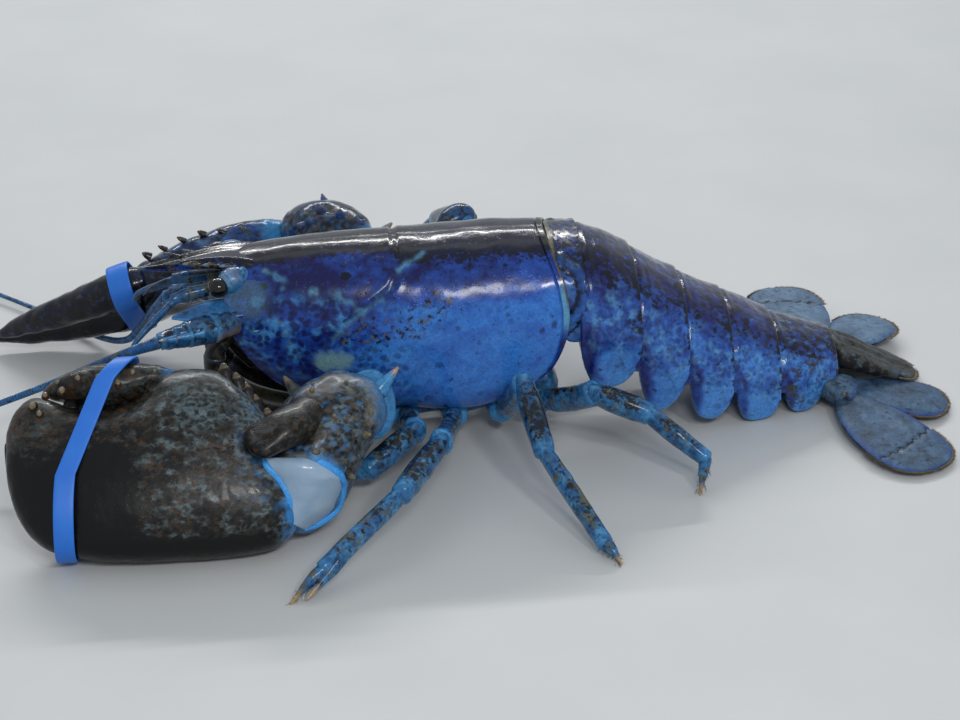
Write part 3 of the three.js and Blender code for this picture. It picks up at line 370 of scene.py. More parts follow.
def shell_material(name, tints, spot_mm, cell_mm, speck_mm, stretch=(1, 1, 1), roughness=0.19, coat=0.4):
    """Chitin in the tints of one part of the animal, steered by the marks on the mesh."""
    material, tree, shader = new_material(name, {
        "IOR": CHITIN_IOR, "Specular IOR Level": 0.22,
        "Coat Weight": coat, "Coat Roughness": 0.1, "Coat IOR": WATER_IOR,
    })
    place = add(tree, "TexCoord").outputs["Object"]
    run = add(tree, "Mapping", {"Scale": stretch}, {"Vector": place})
    stir = add(tree, "TexNoise", {"Scale": PER_METRE / (2 * cell_mm), "Detail": 3.0}, {"Vector": run})
    bent = add(tree, "VectorMath", {"operation": "MULTIPLY_ADD", 1: (STIR_MM * METRES,) * 3},
               {0: stir.outputs["Color"], 2: run})
    mark = {key: add(tree, "Attribute", {"attribute_name": key}).outputs["Fac"] for key in MARKS}

    # clouds of pigment, from deep to bright
    shade = mark["tone"]
    for size_mm in (CLOUD_MM, 2.4 * spot_mm):
        cloud = add(tree, "TexNoise", {"Scale": PER_METRE / size_mm, "Detail": 4.0}, {"Vector": run})
        swing = add(tree, "Math", {"operation": "SUBTRACT", 1: 0.5}, {0: cloud})
        shade = add(tree, "Math", {"operation": "MULTIPLY_ADD", 1: CLOUD_STRENGTH}, {0: swing, 2: shade})
    ramp = add(tree, "ValToRGB", None, {"Fac": shade})
    stops = ramp.color_ramp.elements
    stops.new(0.5)
    for stop, at, key in zip(stops, (0.0, 0.5, 1.0), ("deep", "mid", "bright")):
        stop.position = at
        stop.color = colour(tints[key])
    layers = []

    # soft dark dots, each of its own size, that gather in clumps
    dots = add(tree, "TexVoronoi", {"Scale": PER_METRE / (2.2 * spot_mm)}, {"Vector": bent})
    chance = add(tree, "SeparateColor", None, {"Color": dots.outputs["Color"]})
    room = add(tree, "Math", {"operation": "MULTIPLY", 1: 0.42}, {0: chance})
    inside = add(tree, "Math", {"operation": "SUBTRACT"}, {0: room, 1: dots})
    dot = add(tree, "MapRange", {**SOFT_STEP, "From Min": -0.14, "From Max": 0.16}, {"Value": inside})
    clump = add(tree, "TexNoise", {"Scale": PER_METRE / CLUMP_MM, "Detail": 2.0}, {"Vector": bent})
    thick = add(tree, "MapRange", {"From Min": 0.38, "From Max": 0.62, "To Max": 0.7}, {"Value": clump})
    layers.append((add(tree, "Math", {"operation": "MULTIPLY"}, {0: dot, 1: thick}), "ink"))

    # a net: a paler ground that comes and goes, with soft-edged dark blots scattered over it
    cells = add(tree, "TexVoronoi", {"Scale": PER_METRE / cell_mm}, {"Vector": bent})
    patchy = add(tree, "TexNoise", {"Scale": PER_METRE / (2.2 * cell_mm), "Detail": 3.0}, {"Vector": run})
    ground = add(tree, "MapRange", {**SOFT_STEP, "From Min": 0.46, "From Max": 0.7, "To Max": 0.75},
                 {"Value": patchy})
    blot = add(tree, "MapRange", {**SOFT_STEP, "From Min": 0.3, "From Max": 0.62, "To Min": 0.9,
                                  "To Max": 0.0}, {"Value": cells})
    for source, tint in ((ground, "pale"), (blot, "ink")):
        layers.append((add(tree, "Math", {"operation": "MULTIPLY"}, {0: source, 1: mark["net"]}), tint))

    # ragged specks and patches, each kind from its own part of the noise
    for key, size_mm, offset in (("warm", 1.3 * speck_mm, 3.0), ("dark", speck_mm, 9.0)):
        moved = add(tree, "VectorMath", {"operation": "ADD", 1: (offset,) * 3}, {0: bent})
        noise = add(tree, "TexNoise", {"Scale": PER_METRE / (1.7 * size_mm), "Detail": 4.0,
                                       "Roughness": 0.62}, {"Vector": moved})
        spread = add(tree, "MapRange", {"From Min": 0.3, "From Max": 0.7, "clamp": False}, {"Value": noise})
        level = add(tree, "Math", {"operation": "ADD"}, {0: spread, 1: mark[key]})
        patch = add(tree, "MapRange", {**SOFT_STEP, "From Min": 0.84, "From Max": 1.2, "To Max": 0.92},
                    {"Value": level})
        layers.append((patch, key))
    layers += [(mark["rim"], "rim"), (mark["cream"], "cream")]

    paint = ramp.outputs[0]
    for amount, tint in layers:
        laid = add(tree, "Mix", {"data_type": "RGBA", MIX_SECOND: colour(tints[tint])},
                   {MIX_AMOUNT: amount, MIX_FIRST: paint})
        paint = laid.outputs[MIX_RESULT]
    grain = add(tree, "TexNoise", {"Scale": PER_METRE / GRAIN_MM, "Detail": 4.0}, {"Vector": place})
    value = add(tree, "MapRange", {"From Min": 0.3, "From Max": 0.7, "To Min": 0.8, "To Max": 1.2},
                {"Value": grain})
    paint = add(tree, "HueSaturation", None, {"Color": paint, "Value": value})
    tree.links.new(paint.outputs[0], shader.inputs["Base Color"])

    # pits and a fine grain in the surface, and a gloss that comes and goes
    pits = add(tree, "TexVoronoi", {"Scale": PER_METRE / PIT_MM}, {"Vector": place})
    dimple = add(tree, "MapRange", {"From Min": 0.0, "From Max": 0.28, **SOFT_STEP}, {"Value": pits})
    height = add(tree, "Math", {"operation": "MULTIPLY_ADD", 1: 0.5}, {0: grain, 2: dimple})
    bump = add(tree, "Bump", {"Strength": 0.4, "Distance": RELIEF_MM * METRES}, {"Height": height})
    tree.links.new(bump.outputs[0], shader.inputs["Normal"])
    gloss = add(tree, "MapRange", {"To Min": roughness - 0.08, "To Max": roughness + 0.12}, {"Value": stir})
    tree.links.new(gloss.outputs[0], shader.inputs["Roughness"])
    return material


carapace_chitin = shell_material("wet_blue_carapace_chitin", {
    "deep": "#10134a", "mid": "#1f499e", "bright": "#3473c2", "ink": "#0e1248", "pale": "#4c93cc",
    "dark": "#0a090c", "warm": "#575039", "rim": "#6fb6d8", "cream": "#6f9392",
}, spot_mm=1.7, cell_mm=2.7, speck_mm=1.2)

# Each station gives the x of its top and bottom, how far its side bows from that line, then its
# top and bottom heights and its half width.
CARAPACE_STATIONS = [
    (FRONT - 3, FRONT + 22, -11, 72.5, 18.6, 17),
    (FRONT + 8, FRONT + 31, -10.5, 74, 17.2, 21.5),
    (FRONT + 22, FRONT + 41, -9, 75.3, 16, 24.5),
    (FRONT + 38, FRONT + 52, -6, 76, 14.6, 26.5),
    (FRONT + 56, FRONT + 62, -4, 76.2, 13.4, 28),
    (FRONT + 74, FRONT + 74, 0, 76.5, 12.6, 30),
    (FRONT + 92, FRONT + 87, 5, 77, 13.6, 29.7),
    (FRONT + 105, FRONT + 98, 9, 76.5, 18, 28.4),
    (FRONT + 110, FRONT + 102, 10, 76.1, 21, 27.6),
]
# Lines and places below are given for the right side, and the left mirrors them.
GROOVE = [
    (-53.6, 0, 75.6), (-53.7, 5, 75.4), (-53.5, 12.8, 73.1), (-52.8, 17.7, 70.3), (-56.4, 21.3, 64.9),
    (-61.1, 23.7, 61.5), (-65.6, 24.8, 58.4), (-71.9, 25.2, 55), (-77.5, 25.6, 48.6), (-83.9, 24.6, 42.5),
]
GROOVE_BRANCH = [(-44, 11.9, 74.3), (-47.6, 14.4, 72.7), (-50.6, 15.9, 71.7), (-52.8, 17.3, 70.6)]
SPECKLED_BAND = [(-76.4, 25.1, 52.3), (-62.5, 26.9, 50.3), (-48.3, 27.5, 53.7), (-39.2, 25.3, 61.9)]
PALE_STREAKS = [
    [(-100, 12.5, 70.5), (-96.4, 14.2, 69.3), (-93.5, 16.5, 67.5)],
    [(-97, 20.5, 56.5), (-93.6, 22.8, 51.7), (-92.5, 23.4, 46)],
    [(-76, 21.6, 65), (-70, 23, 60.5), (-66, 24.6, 57.5)],
]
PALE_SPOTS = [((-83.1, 19.9, 65), 2.6), ((-93.6, 22.8, 51.7), 2.2), ((-101, 19.6, 54), 1.8)]
PALE_PATCH = [(-81, 24.9, 40), (-77.6, 25.3, 40.8), (-74, 25.8, 40)]
DARK_SPOTS = [((-100.1, 15.9, 66.4), 1.7), ((-71.5, 17.5, 69.4), 2.4)]
OLIVE_PATCH = (-107.3, 16.3, 62.5)
# where the rear margin starts, as a share of the length, and where the shell is widest, as a share
# of its height
REAR_GROOVE = 0.93
WIDEST_SHARE = 0.47
UPPER_SQUARENESS = 2.25
LOWER_SQUARENESS = 3.4
CARAPACE_GRID = (320, 300)


def carapace_rings(along, around):
    """The grid of rings of the carapace, leaning forward at the front."""
    t = np.linspace(0, 1, along + 1)
    top, low, bow, high, base, half = through(CARAPACE_STATIONS, t).T[:, :, None]
    angle = (np.arange(around) + 0.5) / around * TURN
    upper = np.sin(angle) > 0
    across, over = oval(angle, np.where(upper, UPPER_SQUARENESS, LOWER_SQUARENESS))
    middle = base + (high - base) * WIDEST_SHARE
    z = middle + over * np.where(upper, high - middle, middle - base)
    drop = np.clip((high - z) / (high - base), 0, 1)
    x = top + (low - top) * drop + bow * 4 * drop * (1 - drop)
    return np.stack([x, across * half, z], -1), t


def folded_in(rings, steps, at_end):
    """Adds rings that turn an open edge over and run back inside it: (scale, shift in x)."""
    edge = rings[-1] if at_end else rings[0]
    middle = edge.mean(0)
    extra = [middle + (edge - middle) * scale + (shift, 0, 0) for scale, shift in steps]
    return np.concatenate([rings, extra]) if at_end else np.concatenate([extra[::-1], rings])


rings, t = carapace_rings(*CARAPACE_GRID)
mirrored = rings * (1, 0, 1) + np.abs(rings) * (0, 1, 0)
x, y, z = mirrored[..., 0], mirrored[..., 1], mirrored[..., 2]
share = np.broadcast_to(t[:, None], x.shape)
groove, groove_share = line_distance(mirrored, GROOVE)
branch, _ = line_distance(mirrored, GROOVE_BRANCH)
fades = smooth(1.0, 0.7, groove_share)
rear = smooth(REAR_GROOVE, REAR_GROOVE + 0.012, share)

# relief: the groove and its branch, the seam along the back, and the raised rear margin
lift = -0.7 * fades * hump(groove, 0, 1.2) - 0.2 * hump(branch, 0, 0.9)
lift += 0.2 * fades * smooth(5, 2, groove) * smooth(1.1, 2.2, groove)
lift -= 0.2 * hump(y, 0, 0.5) * smooth(FRONT + 20, FRONT + 40, x) * (z > 50)
lift += 0.3 * rear - 0.45 * hump(share, REAR_GROOVE - 0.002, 0.006)
lift += 0.10 * ripple(rings, 14, 1) + 0.015 * ripple(rings, 4, 2)
rings = raised(rings, lift)

# colour: black along the back, a netted head, and a plain bright flank behind the groove
groove_x = np.interp(z, [p[2] for p in GROOVE[::-1]], [p[0] for p in GROOVE[::-1]])
past_groove = x - groove_x
behind = smooth(-2, 4, past_groove)
flank = smooth(67, 57, z)
back = smooth(16, 10.5, y + 1.2 * ripple(mirrored, 7, 6)) * (z > 55)
tone = 0.06 + 0.22 * (1 - behind) * flank
tone = tone + behind * (0.14 + 0.5 * flank * smooth(-2, 24, past_groove) + 0.2 * flank)
# painted shade: the flank below a height of about 28 mm is painted a little darker
tone = tone - 0.08 * smooth(28, 18, z) + 0.05 * ripple(rings, 22, 3)
dark = 0.08 + 0.85 * back * np.where(x < -54, smooth(13, 6, y), 1)
dark = dark + (0.12 + 0.26 * behind) * smooth(20, 14, y) * (z > 55)
dark = dark + 0.14 * behind * smooth(24, 18, y) * (z > 55)
band, _ = line_distance(mirrored, SPECKLED_BAND)
dark = dark + 0.28 * smooth(9, 2, band) * behind
warm = 0.3 * smooth(8, 2, band) * behind + 0.1 * back
net = 0.9 * (1 - behind) * smooth(67, 60, z) * smooth(29, 37, z)
net = net + 0.3 * spot(mirrored, (-60, 27, 34), 20) * behind
near_groove = 0.3 * smooth(50, 20, past_groove) + 0.3 * smooth(16, 4, past_groove)
net = net + near_groove * behind * smooth(66, 56, z)

# pale lines, spots and patches, and two dark spots, where the animal has them
rim = 0.5 * fades ** 0.5 * hump(groove + 0.4 * ripple(mirrored, 3, 12), 0, 0.9)
rim = rim * smooth(0.3, 0.5, groove_share)
rim = np.maximum(rim, 0.5 * hump(branch + 0.4 * ripple(mirrored, 3, 13), 0, 1))
rim = rim * np.clip(0.6 + 0.35 * ripple(mirrored, 5, 8), 0, 1)
for streak in PALE_STREAKS:
    away, _ = line_distance(mirrored, streak)
    rim = np.maximum(rim, 0.28 * hump(away + 0.8 * ripple(mirrored, 3, 9), 0, 1.2))
for at, reach in PALE_SPOTS:
    broken = np.clip(0.7 + 0.4 * ripple(mirrored, 2, 14), 0, 1)
    rim = np.maximum(rim, 0.42 * spot(mirrored, at, reach) * broken)
for at, reach in DARK_SPOTS:
    dark = np.maximum(dark, spot(mirrored, at, reach))
pale_patch, _ = line_distance(mirrored, PALE_PATCH)
cream = 0.85 * smooth(4.6, 2.6, pale_patch + 0.6 * ripple(mirrored, 4, 11))
cream = np.maximum(cream, 0.28 * spot(mirrored, OLIVE_PATCH, 12) * (z < 68))
net = net * (1 - cream)
tone = tone + 0.3 * cream

# the raised rear margin is royal blue, with an azure wedge on the side and a tan edge above
tone = tone * (1 - rear) + rear * (0.06 + 0.1 * smooth(60, 40, z))
dark = dark * (1 - 0.8 * rear * smooth(12, 16, y))
tan_edge = smooth(0.982, 0.992, share) * smooth(54, 60, z)
wedge = rear * (1 - tan_edge) * smooth(66, 60, z) * smooth(46, 53, z)
rim = np.maximum(rim * (1 - rear), 0.55 * wedge)
warm = np.maximum(warm, tan_edge)

# how the shell turns in at its two openings; the rows turned into the front hollow are painted black as
# shade
FRONT_FOLD = [(0.965, 0.2), (0.93, 1.2), (0.9, 5), (0.86, 12), (0.5, 15)]
REAR_FOLD = [(0.985, 0.3), (0.96, 0), (0.94, -2), (0.9, -4)]
marks = {}
for key, grid in zip(MARKS, (tone, dark, net, warm, rim, cream)):
    front_rows = np.repeat(grid[:1], len(FRONT_FOLD), 0)
    rear_rows = np.repeat(grid[-1:], len(REAR_FOLD), 0)
    marks[key] = np.concatenate([front_rows, grid, rear_rows])
# painted shade: the innermost rows of the front fold are painted fully dark
marks["dark"][:len(FRONT_FOLD) - 2] = 1
rings = folded_in(folded_in(rings, FRONT_FOLD, False), REAR_FOLD, True)
carapace_form = skin(rings, **marks)


# Rostrum and head spines
# The carapace runs out in front into a flat keeled spike with a row of teeth on each edge. It is
# the same shell, bronze-black on top and blue at the sides, with worn horn-coloured points.
# the least half width of a limb, and the angles of the rings that round off its ends
LEAST_RADIUS = 0.08
CAP_STEPS = [75, 55, 35, 15]


def tube(stations, along=30, around=20, power=2.2, up=(0, 0, 1), frame=None, caps=(0.6, 0.6)):
    """Rings of a rounded limb through (x, y, z, half width, half depth), and how far along each is."""
    stations = np.asarray(stations, float)
    t = np.linspace(0, 1, along + 1)
    path = through(stations[:, :3], t)
    ahead = np.gradient(path, axis=0)
    ahead /= np.linalg.norm(ahead, axis=1)[:, None]
    if frame is None:
        side = np.cross(ahead, np.asarray(up, float))
        side /= np.linalg.norm(side, axis=1)[:, None]
        over = np.cross(side, ahead)
    else:
        side = np.broadcast_to(np.asarray(frame[0], float), path.shape)
        over = np.broadcast_to(np.asarray(frame[1], float), path.shape)
    size = np.maximum(through(stations[:, 3:5], t), LEAST_RADIUS)
    steps = np.radians(CAP_STEPS)
    for at_end, roundness in ((False, caps[0]), (True, caps[1])):
        pick, sign, order = (-1, 1, steps[::-1]) if at_end else (0, -1, steps)
        reach = roundness * size[pick].min()
        caps_added = ([path[pick] + sign * ahead[pick] * reach * np.sin(s) for s in order],
                      [size[pick] * np.cos(s) for s in order],
                      [side[pick]] * len(steps), [over[pick]] * len(steps))
        grown = [np.concatenate([run, more] if at_end else [more, run])
                 for run, more in zip((path, size, side, over), caps_added)]
        path, size, side, over = grown
    t = np.concatenate([np.zeros(len(steps)), t, np.ones(len(steps))])
    angle = (np.arange(around) + 0.5) / around * TURN
    wide, deep = oval(angle, power)
    rings = (path[:, None] + side[:, None] * (wide[:, None] * size[:, None, :1])
             + over[:, None] * (deep[:, None] * size[:, None, 1:]))
    return rings, t[:, None], angle[None]


def knob(root, tip, radius, profile, cap, worn, tone, dark, warm, cream, along=10, around=12):
    """A short form from root to tip through (share, wide, deep), paler at its worn point."""
    root, tip = np.asarray(root, float), np.asarray(tip, float)
    reach = tip - root
    up = (1, 0, 0) if abs(reach[2]) > 0.7 * np.linalg.norm(reach) else (0, 0, 1)
    stations = [(*(root + share * reach), radius * wide, radius * deep) for share, wide, deep in profile]
    rings, t, _ = tube(stations, along, around, power=2, up=up, caps=(0.2, cap))
    point = smooth(*worn, t)
    return skin(rings, tone=tone, dark=dark * (1 - point), warm=warm, cream=cream * point)


def thorn(root, tip, radius, tone=0.3, dark=0.4, warm=0.0, cream=0.8):
    """A spine, its root sunk in the shell, with a paler worn point."""
    profile = [(-0.3, 1.35, 1.35), (0.05, 1, 1), (0.6, 0.58, 0.58), (1, 0.22, 0.22)]
    return knob(root, tip, radius, profile, 1, (0.62, 0.9), tone, dark, warm, cream)


def bead(root, tip, radius, tone=0.2, dark=0.5, warm=0.3, cream=0.5):
    """A low rounded tubercle with a pale worn crown."""
    profile = [(-0.8, 1.3, 1.2), (0, 1.1, 1), (0.6, 0.9, 0.8), (1, 0.5, 0.45)]
    return knob(root, tip, radius, profile, 0.9, (0.7, 0.95), tone, dark, warm, cream, along=14, around=18)


ROSTRUM = [
    (FRONT + 14, 0, 67, 10.5, 3.2), (FRONT + 4, 0, 70, 9.2, 3.6), (FRONT - 5, 0, 70.6, 6.4, 3.3),
    (FRONT - 15, 0, 69.8, 4, 2.7), (FRONT - 25, 0, 68.5, 2.4, 2), (FRONT - 35, 0, 68.2, 0.5, 0.5),
]
rostrum_rings, t, angle = tube(ROSTRUM, along=70, around=48)
keel = hump(np.abs(np.cos(angle)), 0.8, 0.18) * (np.sin(angle) > 0)
hollow = hump(np.cos(angle), 0, 0.45) * (np.sin(angle) > 0)
rostrum_rings = raised(rostrum_rings, (0.8 * keel - 0.9 * hollow) * smooth(1, 0.8, t))
upper = smooth(0.1, 0.6, np.sin(angle))
rostrum = [skin(rostrum_rings, tone=0.1 + 0.15 * t, dark=0.3 + 0.6 * upper,
                warm=0.3 + 0.3 * upper * smooth(0.3, 0.6, t), cream=0.5 * smooth(0.93, 1, t))]
# how far each tooth is ahead of the brow and out from the midline, and its radius
TEETH = [(1, 7.6, 1.6), (7, 6, 1.5), (14, 4.4, 1.4), (21, 3.1, 1.2)]
TOOTH_LENGTH = 4.6
TOOTH_SPREAD = 1.6
TOOTH_SUNK = 0.6
TOOTH_ROOT_HEIGHT = 70.6
TOOTH_TIP_HEIGHT = 71.8
CHEEK_SPINES = [((FRONT + 3, 17, 56), (FRONT - 1.6, 18.4, 56.4), 1.4),
                ((FRONT + 9, 19.8, 51), (FRONT + 5, 21, 51.3), 1.0)]
for side in (-1, 1):
    for forward, out, radius in TEETH:
        root = (FRONT - forward, side * (out - TOOTH_SUNK), TOOTH_ROOT_HEIGHT)
        tip = (FRONT - forward - TOOTH_LENGTH, side * (out + TOOTH_SPREAD), TOOTH_TIP_HEIGHT)
        rostrum.append(thorn(root, tip, radius, dark=0.6, warm=0.8, cream=0.3))
    flip = np.array([1, side, 1])
    for root, tip, radius in CHEEK_SPINES:
        rostrum.append(thorn(root * flip, tip * flip, radius, tone=0.4, dark=0.1))
build_piece("carapace_shell", [carapace_form, *rostrum], carapace_chitin, "shell", "carapace")


# Eyes
# Each eye is a black polished dome of fused facets on a short stalk that turns in its socket.
EYE_STALK = [(FRONT + 4, 8, 67), (FRONT - 1, 11, 67.2), (FRONT - 3.6, 12.4, 66.6)]
STALK_RADIUS = 4.7
STALK_SWELL = (0.8, 1, 0.86)
CORNEA_RADIUS = 3.7
CORNEA_FLATNESS = 0.97
CORNEA_FULLNESS = 1.02
CORNEA_LIFT = 0.9
FACET_MM = 0.3

# Cornea: a clear hard skin over black pigment. Its facets, a few hundredths of a millimetre wide,
# are drawn coarser, as a very shallow cell pattern that only softens the edge of a glint.
cornea_glass = two_tint_material(
    "polished_black_cornea", ("#050507", "#17110d"), 2.5, 2.0,
    {"Roughness": 0.06, "IOR": 1.45, "Specular IOR Level": 0.25, "Coat Weight": 0.6, "Coat Roughness": 0.02},
    relief=("TexVoronoi", {"Scale": PER_METRE / FACET_MM}, 0.08, 0.02))

limb_chitin = shell_material("wet_azure_limb_chitin", {
    "deep": "#14304f", "mid": "#27598a", "bright": "#4289bc", "ink": "#122038", "pale": "#5fa2c6",
    "dark": "#121315", "warm": "#55553f", "rim": "#489cd6", "cream": "#a8895f",
}, spot_mm=1.2, cell_mm=2.0, speck_mm=1.4)

for side, word in ((-1, "left"), (1, "right")):
    flip = np.array([1, side, 1])
    stalk = [(*(np.array(at) * flip), STALK_RADIUS * swell, STALK_RADIUS * swell)
             for at, swell in zip(EYE_STALK, STALK_SWELL)]
    rings, t, angle = tube(stalk, along=24, around=32, power=2)
    rings = raised(rings, 0.35 * hump(t, 0.88, 0.06))
    # painted highlight: the pale rim and cream laid on the upper side of the stalk stand for a highlight;
    # the dark patches there are its own colour
    top = smooth(-0.2, 0.7, np.sin(angle))
    form = skin(rings, tone=0.6, dark=0.1 + 0.2 * top, rim=0.3 * smooth(0.5, 0.9, t) * top, net=0.3,
                cream=0.2 * top * smooth(0.3, 0.6, t))
    build_piece(f"{word}_eyestalk_shell", [form], limb_chitin, "leg_shell", f"{word}_eyestalk")
    centre = EYE_CENTRE * flip + (0, 0, CORNEA_LIFT)
    facing = np.array([-0.82, side * 0.55, 0])
    steps = np.linspace(-1, 1, 33)
    radii = CORNEA_RADIUS * CORNEA_FULLNESS * np.sqrt(np.maximum(1 - steps ** 2, 0))
    dome = [(*(centre + facing * k * CORNEA_RADIUS), r, r * CORNEA_FLATNESS) for k, r in zip(steps, radii)]
    rings, _, _ = tube(dome, along=48, around=40, power=2, caps=(0.1, 0.1))
    build_piece(f"{word}_cornea", [skin(rings)], cornea_glass, "eye", f"{word}_eye")


# Feelers
# Long antennae on stout jointed bases, a broad thin scale beside each, and short forked
# antennules between them. The whips are rings of chitin, one every millimetre or so.
ANTENNA_BASE = {
    -1: [(FRONT + 1, -11.5, 53), (FRONT - 6, -17.5, 53), (FRONT - 14, -22, 53), (FRONT - 20, -25, 53.2),
         (FRONT - 27.5, -28.5, 53.2)],
    1: [(FRONT + 1, 11.5, 53), (FRONT - 6, 17.5, 51.5), (FRONT - 14, 22, 48.5), (FRONT - 20, 24, 46),
        (FRONT - 27, 26, 43)],
}
ANTENNA_BASE_RADII = [5, 5, 4.8, 4, 2.9]
FLAGELLUM = {
    -1: [(-138, -28.8, 53.1), (-150, -25, 47.5), (-161, -20, 41), (-176, -15, 32.5), (-197, -15.5, 25.2),
         (-235, -22, 16), (-280, -38, 9), (-325, -62, 5), (-362, -92, 3)],
    1: [(-137.5, 26.1, 42.7), (-143.5, 34, 33), (-149, 46, 21), (-156, 58, 9.6), (-168, 74, 3.6),
        (-191, 99, 3), (-222, 127, 3), (-262, 154, 3), (-305, 178, 3)],
}
FLAGELLUM_RADII = [2.3, 1.7, 1.5, 1.35, 1.2, 1, 0.8, 0.6, 0.4]
WHIP_RING_MM = 1.1
WHIP_STEPS = 900
ANTENNULE_RING_MM = 0.7
# the joints of a base as shares of its length, how each segment swells, and its spurs
BASE_JOINTS = [0.0, 0.36, 0.68, 1.0]
BASE_SWELL = [0.84, 0.98, 1.04, 1.03, 1.0, 1.02, 1.08]
BASE_SPURS = [(0.2, 4.5), (0.32, 4), (0.5, 3.8), (0.66, 3.6), (0.86, 2.8)]
ANTENNAL_SCALE = [(FRONT - 1, 14, 58.5, 2.5, 1.6), (FRONT - 6, 15.5, 58.3, 4.2, 1.2),
                  (FRONT - 14, 17.5, 58, 3.7, 0.9), (FRONT - 23, 19, 57.6, 0.5, 0.4)]
ANTENNULE_STALK = [(FRONT - 3, 4.5, 62.5, 3, 3), (FRONT - 10, 6, 61.5, 2.4, 2.4),
                   (FRONT - 17, 7, 60.5, 2.5, 2.5), (FRONT - 23, 8.4, 59.3, 1.8, 1.8)]
ANTENNULE_JOINTS = [0.0, 1 / 3, 2 / 3, 1.0]
ANTENNULE_SWELL = [0.82, 0.96, 1, 0.98, 1, 1.12]
OUTER_FORK = [(FRONT - 21, 8, 60), (FRONT - 29, 13, 54.5), (FRONT - 37, 20, 48.5), (FRONT - 39, 23, 43)]
INNER_FORK = [(FRONT - 21, 7.4, 60), (FRONT - 27, 9.6, 57.6), (FRONT - 32, 13, 53.6), (FRONT - 35, 17, 49)]


def whip(points, radii, ring_mm, along, tone=0.45, dark=0.2):
    """A tapering feeler built of short rings, each a little wider at its far edge."""
    stations = [(*at, r, r) for at, r in zip(points, radii)]
    rings, _, _ = tube(stations, along=along, around=12, power=2)
    middle = rings.mean(1)
    travelled = np.concatenate([[0], np.cumsum(np.linalg.norm(np.diff(middle, axis=0), axis=1))])
    tooth = (travelled / ring_mm) % 1
    rings = middle[:, None] + (rings - middle[:, None]) * (0.95 + 0.1 * tooth)[:, None, None]
    seam = smooth(0.25, 0.0, tooth)[:, None]
    return skin(rings, tone=tone - 0.3 * seam, dark=dark + 0.3 * seam, warm=0.2)


def jointed(stations, joints, swell, lap, **shape):
    """The segments of a limb in turn, each swelling as told and lapping over the one before."""
    for k in range(len(joints) - 1):
        part = through(stations, np.linspace(joints[k] - (lap if k else 0), joints[k + 1], len(swell)))
        part[:, 3:] *= np.array(swell)[:, None]
        yield k, *tube(part, **shape)


for side, word in ((-1, "left"), (1, "right")):
    flip = np.array([1, side, 1, 1, 1])
    base = np.array([(*at, r, r) for at, r in zip(ANTENNA_BASE[side], ANTENNA_BASE_RADII)])
    forms = []
    for k, rings, t, angle in jointed(base, BASE_JOINTS, BASE_SWELL, 0.04,
                                      along=26, around=32, caps=(0.3, 0.25)):
        rings = raised(rings, 0.18 * ripple(rings, 3.2, 20 + k))
        under = smooth(0.3, -0.7, np.sin(angle))
        forms.append(skin(rings, tone=0.28, dark=0.4 - 0.2 * under, net=0.4, rim=0.3 * smooth(0.86, 1, t),
                          cream=0.5 * under * (k == 0)))
    for share, out in BASE_SPURS:
        x, y, z, wide, _ = through(base, np.array([share]))[0]
        root = np.array([x, y + side * wide * 0.86, z + 1.2])
        forms.append(thorn(root, root + (-4.4, side * out * 0.6, 0.6), 1.3, tone=0.7, dark=0.1))
    build_piece(f"{word}_antenna_peduncle", forms, limb_chitin, "leg_shell", f"{word}_antenna_base")
    long_whip = whip(FLAGELLUM[side], FLAGELLUM_RADII, WHIP_RING_MM, WHIP_STEPS)
    build_piece(f"{word}_antenna_whip", [long_whip], limb_chitin, "leg_shell", f"{word}_antenna")

    rings, t, angle = tube(ANTENNAL_SCALE * flip, along=36, around=32, up=(0, side * 0.5, 0.87))
    outward_face = np.cos(angle) * side
    outer_edge = smooth(0.75, 1.0, outward_face)
    rings = raised(rings, 0.4 * outer_edge - 0.15 * hump(outward_face, 0.6, 0.15))
    build_piece(f"{word}_antennal_scale_blade", [skin(rings, tone=0.5, dark=0.15, rim=0.6 * outer_edge)],
                limb_chitin, "leg_shell", f"{word}_antennal_scale")

    forms = []
    for k, rings, t, angle in jointed(ANTENNULE_STALK * flip, ANTENNULE_JOINTS, ANTENNULE_SWELL, 0.03,
                                      along=18, around=24, caps=(0.3, 0.3)):
        forms.append(skin(rings, tone=0.3, dark=0.45 - 0.15 * k, warm=0.65 - 0.2 * k, net=0.2))
    for fork, radii, along, tone, dark in ((OUTER_FORK, (1.3, 1.5, 0.9, 0.35), 220, 0.4, 0.15),
                                           (INNER_FORK, (0.9, 0.8, 0.5, 0.3), 200, 0.2, 0.5)):
        forms.append(whip(fork * flip[:3], radii, ANTENNULE_RING_MM, along, tone, dark))
    build_piece(f"{word}_antennule_fork", forms, limb_chitin, "leg_shell", f"{word}_antennule")


